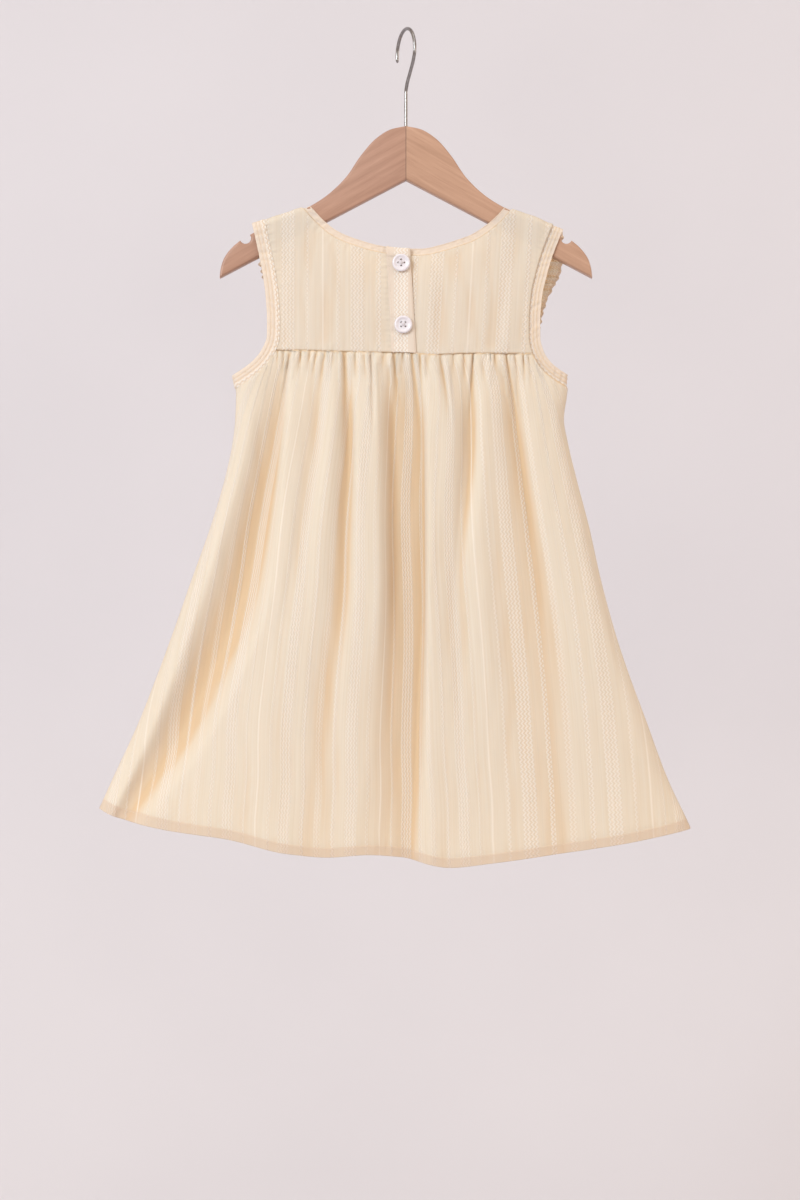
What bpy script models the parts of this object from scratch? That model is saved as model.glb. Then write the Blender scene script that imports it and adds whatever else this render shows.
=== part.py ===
"""Child's sleeveless dress with a gathered skirt and armhole frills, on a flat wooden hanger.

Frame: +Z up. The origin is where the inside of the hook's top rests on its rail.
The buttoned back of the dress faces -Y and its front +Y, and +X is to the right from behind.
Every size and place below is in millimetres, and the meshes are in metres.
"""
import math

import bmesh
import bpy
import numpy as np
from mathutils import Matrix, Vector

MM = 0.001
WELD = 0.00002

# Cloth walls and the room between pieces
CLOTH = 1.0
DOUBLE_CLOTH = 1.6
HEM_CLOTH = 1.7
SEAM_GAP = 0.45
LAP_GAP = 0.3

# Widths of the sewn strips
NECK_BAND = 7.0
ARMHOLE_BAND = 10.5
HEM_TURN = 8.0
PLACKET = (
    # z, x of its sewn edge, x of its free edge
    (-273.5, -12.0, 8.7),
    (-182.0, -16.8, 3.2),
)
UNDERLAP_BLEND = 16.0
UNDERLAP_START = 1.0

# Hanger and hook
BOARD = 12.0
BOARD_EDGE = 1.8
BOARD_SHARP_ANGLE = 50.0
BOARD_TOP = (
    # distance from the middle, z
    (0.2, -81.0),
    (11.9, -83.4),
    (24.8, -91.1),
    (37.6, -105.3),
    (50.5, -124.0),
    (65.9, -138.8),
    (79.4, -147.6),
    (103.5, -159.0),
    (127.5, -170.3),
)
BOARD_END = (
    # distance from the middle, z
    (144.5, -181.4),
    (149.8, -187.3),
    (153.6, -193.8),
    (155.7, -201.3),
    (156.5, -208.3),
)
BOARD_APEX_FOOT = -126.1
NOTCH_CENTRE = (134.8, -175.1)
NOTCH_RADIUS = 4.7
NOTCH_ARC = (143.0, 336.0)
NOTCH_POINTS = 6
HOOK_WIRE = 2.9
HOOK_RADIUS = 19.5
HOOK_TURN = 22.0
HOOK_SHANK = (
    # along the hook's plane, z
    (0.0, -80.7),
    (0.0, -66.0),
    (0.0, -52.0),
    (-2.4, -45.4),
    (-9.6, -36.3),
    (-16.4, -27.4),
)
HOOK_ARC = (186.0, -6.0, -16.0)
HOOK_TIP = (19.3, -23.5)

# Buttons, sewn through four holes
BUTTON_PROFILE = (
    # radius, height
    (0.0, 1.5),
    (4.5, 1.5),
    (5.5, 2.4),
    (6.3, 2.6),
    (7.1, 2.2),
    (7.55, 1.3),
    (7.1, 0.4),
    (6.2, 0.0),
    (0.0, 0.0),
)
BUTTON_STEPS = 24
BUTTON_HOLE = 0.95
BUTTON_HOLE_SPREAD = 2.1
BUTTON_HOLE_SIDES = 8
BUTTON_CUT = 8.0
BUTTON_SEAT = 0.35
BUTTONS = (
    # name, x, z, turn of the holes in degrees
    ("button_upper", -4.0, -196.4, 0.0),
    ("button_lower", -2.2, -248.4, 45.0),
)

# Folded side edges of the dress
SILHOUETTE = (
    # z, left x, right x
    (-702, -279.0, 252.0),
    (-671, -265.0, 239.0),
    (-628, -245.5, 219.0),
    (-582, -224.3, 202.0),
    (-540, -207.8, 186.5),
    (-509, -196.3, 176.2),
    (-461, -179.4, 163.2),
    (-418, -164.0, 153.6),
    (-376, -151.5, 142.6),
    (-347, -145.3, 135.7),
    (-327, -143.0, 132.3),
    (-306, -142.3, 135.0),
    (-290, -145.0, 136.7),
)

# How far the middle of each side stands from the hanging plane
DEPTH = (
    # z, depth
    (-700, 30.0),
    (-580, 27.0),
    (-460, 23.0),
    (-350, 17.0),
    (-300, 13.5),
    (-272, 11.5),
    (-200, 8.4),
    (-145, 7.2),
)
LENS_POWER = 2.4
LENS_FULL = -285.0
LENS_GONE = -200.0
SHOULDER_ROUND = 8.0
SHOULDER_POWER = 3.5

# Shoulder lines, from the neck point to the tip
SHOULDERS = {
    # side: (neck x, neck z, tip x, tip z)
    "left": (-81.2, -147.3, -128.9, -163.3),
    "right": (83.5, -148.4, 132.3, -166.7),
}
BACK_NECK = (
    # x, z
    (-75.5, -153.8),
    (-67.3, -162.2),
    (-59.8, -168.1),
    (-49.1, -173.5),
    (-38.4, -177.2),
    (-27.7, -180.4),
    (-17.0, -182.5),
    (0.0, -184.0),
    (12.6, -184.3),
    (30.3, -180.8),
    (42.0, -177.2),
    (53.9, -172.9),
    (65.7, -165.6),
    (76.3, -156.6),
)
FRONT_NECK = (
    # x, z
    (-76.8, -156.0),
    (-70.0, -171.0),
    (-58.0, -188.0),
    (-40.0, -202.0),
    (-20.0, -209.0),
    (0.0, -211.0),
    (20.0, -209.5),
    (41.0, -203.0),
    (60.0, -189.0),
    (72.5, -172.0),
    (79.3, -157.0),
)

# Outer edges of the armholes, from the shoulder tip to the side seam
ARMHOLES = {
    "left": (
        # x, z
        (-128.9, -163.3),
        (-123.6, -187.2),
        (-120.2, -204.1),
        (-117.4, -224.4),
        (-116.2, -245.0),
        (-116.4, -257.5),
        (-120.3, -268.5),
        (-128.1, -278.4),
        (-136.0, -284.6),
        (-145.0, -290.2),
    ),
    "right": (
        # x, z
        (132.3, -166.7),
        (123.2, -189.5),
        (118.1, -206.4),
        (114.2, -224.4),
        (112.6, -245.0),
        (112.6, -258.0),
        (115.4, -270.0),
        (121.4, -279.2),
        (129.0, -285.4),
        (136.7, -289.8),
    ),
}
FRONT_SCOOP = 4.0

YOKE_SEAM = (
    # x, z
    (-150.0, -269.5),
    (-107.0, -269.8),
    (-52.0, -271.0),
    (0.0, -272.0),
    (22.0, -273.6),
    (50.0, -272.6),
    (104.0, -272.8),
    (150.0, -272.8),
)
HEM = (
    # x, z
    (-262.0, -652.0),
    (-240.0, -661.5),
    (-199.0, -671.0),
    (-149.0, -678.0),
    (-99.0, -690.0),
    (-66.0, -693.0),
    (-33.0, -691.0),
    (-5.0, -693.0),
    (36.0, -701.3),
    (70.0, -698.0),
    (136.0, -689.0),
    (186.0, -681.4),
    (242.0, -670.5),
)

# Lines of the skirt's ridges and hollows: where each runs, and how far it stands out
FOLD_LEVELS = (-690, -580, -460, -340, -275)
BACK_FOLDS = (
    # x at each level, outward height at each level
    ((-263.0, -211.0, -167.0, -133.6, -124.3), (1.0, 3.5, 4.0, 2.5, 0.5)),
    ((-252.0, -184.8, -127.7, -106.7, -98.3), (-1.0, -9.0, -11.0, -6.0, -0.5)),
    ((-233.0, -173.0, -120.1, -100.8, -94.1), (1.0, 1.5, 2.5, 2.0, 0.5)),
    ((-146.0, -121.0, -91.6, -73.9, -68.9), (-1.0, -1.0, -3.0, -3.0, 0.0)),
    ((-101.6, -89.0, -73.9, -65.5, -60.5), (3.0, 3.5, 5.0, 4.0, 0.5)),
    ((-79.0, -68.9, -53.8, -48.7, -51.2), (-5.0, -6.0, -5.5, -5.0, -0.5)),
    ((-47.0, -45.4, -41.2, -41.2, -39.9), (2.0, 2.5, 3.5, 4.5, 0.5)),
    ((-17.6, -13.4, -10.9, -10.5, -10.1), (-2.5, -5.5, -6.5, -6.0, -1.0)),
    ((1.7, 11.8, 15.1, 12.6, 5.0), (-6.0, -12.0, -13.0, -8.0, -0.5)),
    ((22.2, 21.2, 19.8, 18.5, 19.3), (4.0, 4.5, 5.0, 5.0, 0.5)),
    ((47.0, 43.7, 41.2, 33.6, 29.4), (2.0, 1.0, 2.0, 1.0, -0.5)),
    ((68.9, 63.8, 61.3, 59.6, 60.5), (3.5, 4.0, 5.0, 5.0, 0.5)),
    ((95.8, 87.4, 77.3, 72.2, 73.9), (-4.0, -4.0, -2.0, -1.0, -0.5)),
    ((131.0, 122.6, 107.5, 93.2, 85.7), (-5.5, -8.0, -8.0, -6.0, -1.0)),
    ((154.6, 139.4, 118.4, 102.5, 97.4), (2.5, 2.5, 3.5, 4.0, 0.5)),
    ((200.8, 173.0, 142.0, 120.1, 116.8), (1.5, 2.0, 3.0, 2.5, 0.5)),
)
FRONT_FOLDS = (
    # x at each level, outward height at each level
    ((-250.0, -204.0, -164.0, -132.0, -126.0), (2.5, 4.0, 4.0, 2.5, 0.5)),
    ((-216.0, -178.0, -140.0, -112.0, -104.0), (-5.0, -8.0, -8.0, -5.0, -0.5)),
    ((-186.0, -152.0, -118.0, -98.0, -92.0), (3.0, 3.5, 4.0, 3.0, 0.5)),
    ((-140.0, -112.0, -88.0, -78.0, -74.0), (-3.0, -5.0, -7.0, -5.0, -0.5)),
    ((-100.0, -84.0, -70.0, -62.0, -60.0), (4.0, 5.0, 5.5, 4.0, 0.5)),
    ((-60.0, -54.0, -46.0, -42.0, -42.0), (-8.0, -10.0, -9.0, -6.0, -0.5)),
    ((-32.0, -30.0, -28.0, -27.0, -28.0), (4.0, 4.5, 4.5, 4.0, 0.5)),
    ((-4.0, -6.0, -8.0, -8.0, -8.0), (-2.0, -3.0, -4.0, -4.0, -0.5)),
    ((20.0, 16.0, 12.0, 9.0, 8.0), (5.0, 5.5, 5.0, 4.0, 0.5)),
    ((50.0, 42.0, 36.0, 31.0, 30.0), (-8.0, -11.0, -10.0, -7.0, -0.5)),
    ((76.0, 62.0, 52.0, 45.0, 44.0), (3.0, 3.5, 4.0, 3.0, 0.5)),
    ((114.0, 94.0, 76.0, 65.0, 62.0), (-5.0, -6.0, -6.0, -4.0, -0.5)),
    ((142.0, 116.0, 94.0, 80.0, 76.0), (3.0, 4.5, 4.5, 3.5, 0.5)),
    ((178.0, 144.0, 116.0, 98.0, 96.0), (-4.0, -6.0, -6.0, -5.0, -0.5)),
    ((210.0, 174.0, 141.0, 117.0, 116.0), (2.0, 3.0, 3.5, 2.5, 0.5)),
)

# Gathers drawn up into the yoke seam, one row for each small hollow
SMALL = (1.6, 34.0)
DEEP = (2.4, 80.0)
GATHER_DRAWN = 0.6
GATHER_OPENS = 7.0
BACK_GATHERS = (
    # x at the seam, (depth, reach below the seam)
    (-102.9, SMALL),
    (-97.9, DEEP),
    (-88.2, SMALL),
    (-80.8, SMALL),
    (-75.6, SMALL),
    (-68.0, SMALL),
    (-62.2, SMALL),
    (-51.2, DEEP),
    (-42.3, SMALL),
    (-35.3, SMALL),
    (-29.7, DEEP),
    (-18.9, SMALL),
    (-10.1, DEEP),
    (-3.2, SMALL),
    (5.0, DEEP),
    (11.4, SMALL),
    (17.5, SMALL),
    (29.0, DEEP),
    (39.3, SMALL),
    (49.6, SMALL),
    (56.3, DEEP),
    (64.7, SMALL),
    (73.9, SMALL),
    (84.7, DEEP),
    (91.5, SMALL),
    (98.5, SMALL),
)
FRONT_GATHERS = (
    # x at the seam, (depth, reach below the seam)
    (-101.0, SMALL),
    (-93.5, SMALL),
    (-84.0, DEEP),
    (-74.5, SMALL),
    (-67.0, SMALL),
    (-58.5, SMALL),
    (-50.0, DEEP),
    (-42.0, SMALL),
    (-34.5, SMALL),
    (-25.0, SMALL),
    (-17.5, DEEP),
    (-8.5, SMALL),
    (-1.0, SMALL),
    (8.0, SMALL),
    (15.0, SMALL),
    (23.5, DEEP),
    (31.5, SMALL),
    (40.0, SMALL),
    (48.0, SMALL),
    (57.5, DEEP),
    (65.0, SMALL),
    (73.5, SMALL),
    (82.0, SMALL),
    (91.0, DEEP),
    (98.0, SMALL),
)
SKIRT_ROWS = (0.0, 0.008, 0.03, 0.07, 0.12, 0.19, 0.29, 0.42, 0.57, 0.73, 0.88)
SIDE_COLUMNS = (1.0, 0.997, 0.987, 0.965, 0.935, 0.9, 0.86, 0.825, 0.793, 0.77)
COLUMN_ROOM = 1.9

# Frills round the front armholes
FRILLS = {
    # side: (greatest width, forward lean in degrees)
    "left": (27.0, 55.0),
    "right": (28.5, 24.0),
}
FRILL_TAPER = (
    # share of the way from the shoulder to the yoke seam, share of the greatest width
    (0.0, 0.5),
    (0.15, 0.74),
    (0.35, 1.0),
    (0.6, 0.76),
    (0.8, 0.45),
    (1.0, 0.16),
)
FRILL_RUN = (0.04, 0.965)
FRILL_WAVES = 17
FRILL_ROOT_WAVE = 0.5
FRILL_EDGE_WAVE = 2.4

# Share of the height of a yoke, denser where it rounds over the board
YOKE_ROWS = (0.0, 0.08, 0.18, 0.3, 0.44, 0.6, 0.75, 0.86, 0.93, 0.965, 0.99, 1.0)
FIRST_STEPS = (0.5, 1.4, 3.0, 5.6, 9.6)
YOKE_FIRST_STEPS = (1.2, 3.0, 6.0)
STEP = 8.0
SHOULDER_CELLS = 5

# How finely the lines that the pieces share are worked out
ARMHOLE_POINTS = 81
NECK_POINTS = 121
SEAM_POINTS = 41
SIDE_POINTS = 9
RUN_STEP = 0.25
RUN_LIMIT = 25.0
SETTLING_ROUNDS = 12

CREAM = (0.86, 0.77, 0.66)
DEEP_CREAM = (0.80, 0.68, 0.55)
WOOD = (0.52, 0.33, 0.22)
STEEL = (0.62, 0.60, 0.60)
BUTTON_WHITE = (0.90, 0.88, 0.87)


def curve(stations, values, at):
    """Monotone cubic curve through values at rising stations.

    The values may have a second axis, with one column for each place asked for.
    """
    stations = np.asarray(stations, dtype=float)
    values = np.asarray(values, dtype=float)
    at = np.clip(np.asarray(at, dtype=float), stations[0], stations[-1])
    if values.ndim == 1:
        values = np.repeat(values[:, None], at.size, axis=1)
    step = np.diff(stations)[:, None]
    slope = np.diff(values, axis=0) / step
    before = 2 * step[1:] + step[:-1]
    after = step[1:] + 2 * step[:-1]
    turns = slope[:-1] * slope[1:] <= 0
    first = np.where(turns, 1.0, slope[:-1])
    second = np.where(turns, 1.0, slope[1:])
    inner = np.where(turns, 0.0, (before + after) / (before / first + after / second))
    tangent = np.concatenate((slope[:1], inner, slope[-1:]))
    places = at.ravel()
    cell = np.clip(np.searchsorted(stations, places, side="right") - 1, 0, len(step) - 1)
    own = np.arange(places.size)
    width = step[cell, 0]
    f = (places - stations[cell]) / width
    rise = 3 * f ** 2 - 2 * f ** 3
    lead = (f ** 3 - 2 * f ** 2 + f) * width * tangent[cell, own]
    trail = (f ** 3 - f ** 2) * width * tangent[cell + 1, own]
    result = values[cell, own] * (1 - rise) + values[cell + 1, own] * rise + lead + trail
    return result.reshape(at.shape)


def read(table, at, column=1):
    """Smooth reading of one column of a table whose first column rises."""
    return curve([row[0] for row in table], [row[column] for row in table], at)


def ease(f):
    """Smooth step from 0 to 1."""
    f = np.clip(f, 0.0, 1.0)
    return f * f * (3 - 2 * f)


def along(points, shares):
    """Places on a smooth line through the points, at shares of its length."""
    points = np.asarray(points, dtype=float)
    length = np.concatenate(([0.0], np.cumsum(np.linalg.norm(np.diff(points, axis=0), axis=1))))
    at = np.asarray(shares, dtype=float) * length[-1]
    return np.stack([curve(length, axis, at) for axis in points.T], axis=1)


def shifted(points, distance):
    """The line moved square to itself, to the right of its travel."""
    tangent = np.gradient(points, axis=0)
    tangent /= np.linalg.norm(tangent, axis=1)[:, None]
    return points + np.stack((tangent[:, 1], -tangent[:, 0]), axis=1) * distance


def cut_line(points, room):
    """The line up to the place where the room beside it falls to nothing."""
    cut = int(np.argmax(room <= 0))
    f = room[cut - 1] / (room[cut - 1] - room[cut])
    end = points[cut - 1] + (points[cut] - points[cut - 1]) * f
    return np.concatenate((points[:cut], end[None]))


def run_out(points, room_beside):
    """The line run straight on at its end, and cut where the room beside it falls to nothing."""
    ahead = points[-1] - points[-3]
    ahead /= np.linalg.norm(ahead)
    further = np.arange(RUN_STEP, RUN_LIMIT, RUN_STEP)[:, None]
    longer = np.concatenate((points, points[-1] + ahead * further))
    room = room_beside(longer)
    room[:len(points) // 2] = 1.0
    return cut_line(longer, room)


def run_back(points, room):
    """The same as run_out, at the start of the line."""
    return run_out(points[::-1], room)[::-1]


def side_edges(z):
    """Left and right x of the folded side edges at a height."""
    return read(SILHOUETTE, z, 1), read(SILHOUETTE, z, 2)


def shoulder_line(x):
    """Height of the shoulder line, run on past both of its ends."""
    heights = []
    for neck_x, neck_z, tip_x, tip_z in SHOULDERS.values():
        slope = (tip_z - neck_z) / (tip_x - neck_x)
        heights.append(neck_z + (x - neck_x) * slope)
    return np.minimum(*heights)


def half_depth(x, z):
    """Distance of one side's cloth from the hanging plane, without its folds."""
    left, right = side_edges(z)
    across = np.clip(np.abs(2 * x - left - right) / (right - left), 0.0, 1.0)
    lens = (1 - across ** LENS_POWER) ** (1 / LENS_POWER)
    lens_share = ease((LENS_GONE - z) / (LENS_GONE - LENS_FULL))
    below = np.clip((shoulder_line(x) - z) / SHOULDER_ROUND, 0.0, 1.0)
    over_board = (1 - (1 - below) ** SHOULDER_POWER) ** (1 / SHOULDER_POWER)
    return read(DEPTH, z) * lens ** lens_share * over_board


def on_side(points, facing, lift=0.0):
    """Lays (x, z) points on the back (-1) or the front (+1) of the dress."""
    x = points[..., 0]
    z = points[..., 1]
    y = facing * (SEAM_GAP / 2 + half_depth(x, z) + lift)
    return np.stack((x, y, z), axis=-1)


def room_to_shoulder(points):
    return shoulder_line(points[:, 0]) - points[:, 1]


def room_to_side(points):
    left, right = side_edges(points[:, 1])
    return np.minimum(points[:, 0] - left, right - points[:, 0])


def armhole_line(side, facing, distance):
    """The armhole's edge, or a line at a distance inside it, from the shoulder to the side."""
    shares = np.linspace(0.0, 1.0, ARMHOLE_POINTS)
    edge = along(ARMHOLES[side], shares)
    inward = 1.0 if side == "left" else -1.0
    if facing > 0:
        edge[:, 0] += inward * FRONT_SCOOP * np.sin(math.pi * shares)
    if distance == 0:
        return edge
    line = shifted(edge, -inward * distance)
    return run_back(run_out(line, room_to_side), room_to_shoulder)


def neck_line(facing, distance):
    """The neck's edge, or a line at a distance below it, from left to right."""
    left = SHOULDERS["left"]
    right = SHOULDERS["right"]
    middle = BACK_NECK if facing < 0 else FRONT_NECK
    edge = along((left[:2], *middle, right[:2]), np.linspace(0.0, 1.0, NECK_POINTS))
    if distance == 0:
        return edge
    line = shifted(edge, distance)
    return run_back(run_out(line, room_to_shoulder), room_to_shoulder)


def above_seam(points, gap):
    """The part of an armhole line from the shoulder down to the yoke seam."""
    return cut_line(points, points[:, 1] - read(YOKE_SEAM, points[:, 0]) - gap)


def below_seam(points, gap):
    """The part of an armhole line from the yoke seam out to the side."""
    room = read(YOKE_SEAM, points[:, 0]) - gap - points[:, 1]
    return cut_line(points[::-1], room[::-1])[::-1]


def seam_line(left_end, right_end, gap):
    """The yoke seam from one x to another, raised by a gap."""
    x = np.linspace(left_end, right_end, SEAM_POINTS)
    return np.stack((x, read(YOKE_SEAM, x) + gap), axis=1)


def patch(foot, head, left, right, columns, rows):
    """Grid of (x, z) points that fills four border lines (a Coons patch)."""
    across = np.asarray(columns)[None, :, None]
    up = np.asarray(rows)[:, None, None]
    foot_line = along(foot, columns)[None]
    head_line = along(head, columns)[None]
    left_line = along(left, rows)[:, None]
    right_line = along(right, rows)[:, None]
    ruled_up = (1 - up) * foot_line + up * head_line
    ruled_across = (1 - across) * left_line + across * right_line
    corners = (
        (1 - across) * (1 - up) * foot_line[:, :1]
        + across * (1 - up) * foot_line[:, -1:]
        + (1 - across) * up * head_line[:, :1]
        + across * up * head_line[:, -1:]
    )
    return ruled_up + ruled_across - corners


def strip(outer, inner, shares, rows=3):
    """Grid of (x, z) points between two lines that run side by side."""
    across = np.linspace(0.0, 1.0, rows)[:, None, None]
    return (1 - across) * along(outer, shares)[None] + across * along(inner, shares)[None]


def material(name, colour, roughness, metallic):
    made = bpy.data.materials.new(name)
    made.use_nodes = True
    shader = made.node_tree.nodes["Principled BSDF"]
    shader.inputs["Base Color"].default_value = (*colour, 1.0)
    shader.inputs["Roughness"].default_value = roughness
    shader.inputs["Metallic"].default_value = metallic
    return made


def place(name, data, colour, roughness=0.9, metallic=0.0):
    """Adds an object under its node's name, with its own material, to the hanging dress."""
    made = bpy.data.objects.new(name, data)
    data.materials.append(material(name + "_finish", colour, roughness, metallic))
    parts.objects.link(made)
    made.parent = hanging_point
    return made


def cloth(name, grid, wall, colour=CREAM, hem_rows=0):
    """A cloth piece: the grid is its inner face, and the wall stands outward from it.

    The first hem_rows rows are the turned-up hem, which is thicker.
    """
    rows, columns = grid.shape[:2]
    shape = bmesh.new()
    bmesh.ops.create_grid(shape, x_segments=columns - 1, y_segments=rows - 1, size=0.5)
    for vert, point in zip(shape.verts, grid.reshape(-1, 3)):
        vert.co = Vector(point) * MM
    shape.normal_update()
    outward = np.sign(grid[..., 1].mean())
    if sum(face.normal.y * face.calc_area() for face in shape.faces) * outward < 0:
        bmesh.ops.reverse_faces(shape, faces=shape.faces)
    mesh = bpy.data.meshes.new(name)
    shape.to_mesh(mesh)
    shape.free()
    mesh.shade_smooth()
    made = place(name, mesh, colour)
    thickest = HEM_CLOTH if hem_rows else wall
    hem_count = hem_rows * columns
    group = made.vertex_groups.new(name="wall")
    group.add(list(range(hem_count)), 1.0, "REPLACE")
    group.add(list(range(hem_count, rows * columns)), wall / thickest, "REPLACE")
    solid = made.modifiers.new("wall", "SOLIDIFY")
    solid.thickness = thickest * MM
    solid.offset = 1.0
    solid.use_even_offset = True
    solid.vertex_group = "wall"
    return made


def seam_places(folds):
    """Where the fold lines start along the seam, with the two side edges round them."""
    return [SILHOUETTE[-1][1], *(row[0][-1] for row in folds), SILHOUETTE[-1][2]]


def fold_shape(folds, u, z):
    """The x and outward height of the cloth that starts at u under the yoke seam."""
    left, right = side_edges(z)
    x_lines = np.array([left, *(curve(FOLD_LEVELS, row[0], z) for row in folds), right])
    flat = np.zeros_like(left)
    height_lines = np.array([flat, *(curve(FOLD_LEVELS, row[1], z) for row in folds), flat])
    starts = seam_places(folds)
    return curve(starts, x_lines, u), curve(starts, height_lines, u)


def gather_height(gathers, u, z):
    """Outward height of the gathers: rounded ridges between the table's hollows."""
    places = np.array([row[0] for row in gathers])
    below = read(YOKE_SEAM, u) - z
    opening = GATHER_DRAWN + (1 - GATHER_DRAWN) * ease(below / GATHER_OPENS)
    height = np.zeros_like(u)
    for i, (x, (depth, reach)) in enumerate(gathers):
        lower = x - places[i - 1] if i > 0 else places[1] - x
        upper = places[i + 1] - x if i + 1 < len(places) else lower
        half_width = np.where(u < x, lower, upper) / 2
        near = np.clip(np.abs(u - x) / half_width, 0.0, 1.0)
        hollow = depth * (0.5 - np.cos(np.pi * near / 2) ** 2)
        height += np.where(near < 1, hollow, 0.0) * opening * ease(1 - below / reach)
    return height


def skirt_columns(folds, gathers, corners):
    """Where the skirt grid's columns start: on ridges, hollows, seam corners and round the sides."""
    hollows = [row[0] for row in gathers]
    ridges = [(a + b) / 2 for a, b in zip(hollows, hollows[1:])]
    left, *fold_starts, right = seam_places(folds)
    middle = (left + right) / 2
    half = (right - left) / 2
    columns = list(corners)
    columns += [middle - half * share for share in SIDE_COLUMNS]
    columns += [middle + half * share for share in SIDE_COLUMNS]
    for wanted in hollows + ridges + fold_starts:
        if min(abs(wanted - column) for column in columns) > COLUMN_ROOM:
            columns.append(wanted)
    return np.array(sorted(columns))


def skirt(name, facing, folds, gathers):
    """A gathered skirt width from the yoke seam and the armhole bands down to its hem."""
    outer_gap = SEAM_GAP / 2
    left_top = below_seam(armhole_line("left", facing, ARMHOLE_BAND + outer_gap), outer_gap)
    right_top = below_seam(armhole_line("right", facing, ARMHOLE_BAND + outer_gap), outer_gap)
    middle_top = seam_line(left_top[0, 0], right_top[0, 0], -outer_gap)
    top = np.concatenate((left_top[::-1], middle_top[1:-1], right_top))
    u = skirt_columns(folds, gathers, (left_top[0, 0], right_top[0, 0]))
    top_z = np.interp(u, top[:, 0], top[:, 1])
    hem_z = read(HEM, u)
    for _ in range(SETTLING_ROUNDS):
        top_z = np.interp(fold_shape(folds, u, top_z)[0], top[:, 0], top[:, 1])
        hem_z = read(HEM, fold_shape(folds, u, hem_z)[0])
    fall = top_z - hem_z
    rows = [hem_z, hem_z + HEM_TURN]
    rows += [top_z - fall * share for share in reversed(SKIRT_ROWS)]
    grid = []
    for z in rows:
        x, height = fold_shape(folds, u, z)
        height += gather_height(gathers, u, z)
        grid.append(on_side(np.stack((x, z), axis=1), facing, height))
    return cloth(name, np.array(grid), CLOTH, hem_rows=2)


def sewn_edge(z):
    return read(PLACKET, z, 1)


def free_edge(z):
    return read(PLACKET, z, 2)


def underlap(x, z):
    """How far the right half of the back lies in, to pass under the placket."""
    return -(DOUBLE_CLOTH + LAP_GAP) * ease((free_edge(z) + UNDERLAP_BLEND - x) / UNDERLAP_BLEND)


def line_length(points):
    return float(np.linalg.norm(np.diff(points, axis=0), axis=1).sum())


def straight(start, end):
    """Straight line of points."""
    start = np.asarray(start)
    return start + (np.asarray(end) - start) * np.linspace(0.0, 1.0, SIDE_POINTS)[:, None]


def graded(length, turns_at_start, turns_at_end, first_steps=FIRST_STEPS):
    """Stations along a length in even steps, with shorter ones where the cloth turns over."""
    first = first_steps if turns_at_start else (0.0,)
    last = first_steps if turns_at_end else (0.0,)
    cells = max(2, round((length - first[-1] - last[-1]) / STEP))
    middle = np.linspace(first[-1], length - last[-1], cells + 1)
    ending = [length - step for step in last[-2::-1]]
    return np.unique(np.round([0.0, *first[:-1], *middle, *ending, length], 6))


for old in list(bpy.data.objects):
    bpy.data.objects.remove(old)
parts = bpy.data.collections.new("ruffle_dress")
cutters = bpy.data.collections.new("cutters")
bpy.context.scene.collection.children.link(parts)
bpy.context.scene.collection.children.link(cutters)
hanging_point = bpy.data.objects.new("hanging_point", None)
parts.objects.link(hanging_point)


def hanger_arm(name, sign):
    """One half of the board, a flat outline with a strap notch near its tip."""
    arc = np.radians(np.linspace(*NOTCH_ARC, NOTCH_POINTS))
    notch = [
        (NOTCH_CENTRE[0] + NOTCH_RADIUS * math.cos(a), NOTCH_CENTRE[1] + NOTCH_RADIUS * math.sin(a))
        for a in arc
    ]
    outline = [*BOARD_TOP, *notch, *BOARD_END, (BOARD_TOP[0][0], BOARD_APEX_FOOT)]
    shape = bpy.data.curves.new(name, "CURVE")
    shape.dimensions = "2D"
    shape.fill_mode = "BOTH"
    shape.extrude = BOARD / 2 * MM
    line = shape.splines.new("POLY")
    line.points.add(len(outline) - 1)
    line.use_cyclic_u = True
    for point, (x, z) in zip(line.points, outline):
        point.co = (sign * x * MM, z * MM, 0.0, 1.0)
    made = place(name, shape, WOOD, roughness=0.55)
    made.rotation_euler.x = math.pi / 2
    weld = made.modifiers.new("weld", "WELD")
    weld.merge_threshold = WELD
    edge = made.modifiers.new("rounded_edges", "BEVEL")
    edge.width = BOARD_EDGE * MM
    edge.segments = 2
    edge.limit_method = "ANGLE"
    edge.angle_limit = math.radians(BOARD_SHARP_ANGLE)


def hanger_hook():
    """Steel wire: a shank, an easing bend and a round hook that ends in a plain tip."""
    arc = np.radians(np.arange(*HOOK_ARC))
    top = -HOOK_RADIUS + HOOK_WIRE / 2
    bow = [(HOOK_RADIUS * math.cos(a), top + HOOK_RADIUS * math.sin(a)) for a in arc]
    route = [*HOOK_SHANK, *bow, HOOK_TIP]
    shape = bpy.data.curves.new("hanger_hook", "CURVE")
    shape.dimensions = "3D"
    shape.bevel_depth = HOOK_WIRE / 2 * MM
    shape.bevel_resolution = 2
    shape.use_fill_caps = True
    line = shape.splines.new("POLY")
    line.points.add(len(route) - 1)
    for point, (across, z) in zip(line.points, route):
        point.co = (across * MM, 0.0, z * MM, 1.0)
    made = place("hanger_hook", shape, STEEL, roughness=0.25, metallic=1.0)
    made.rotation_euler.z = math.radians(90 + HOOK_TURN)


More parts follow.
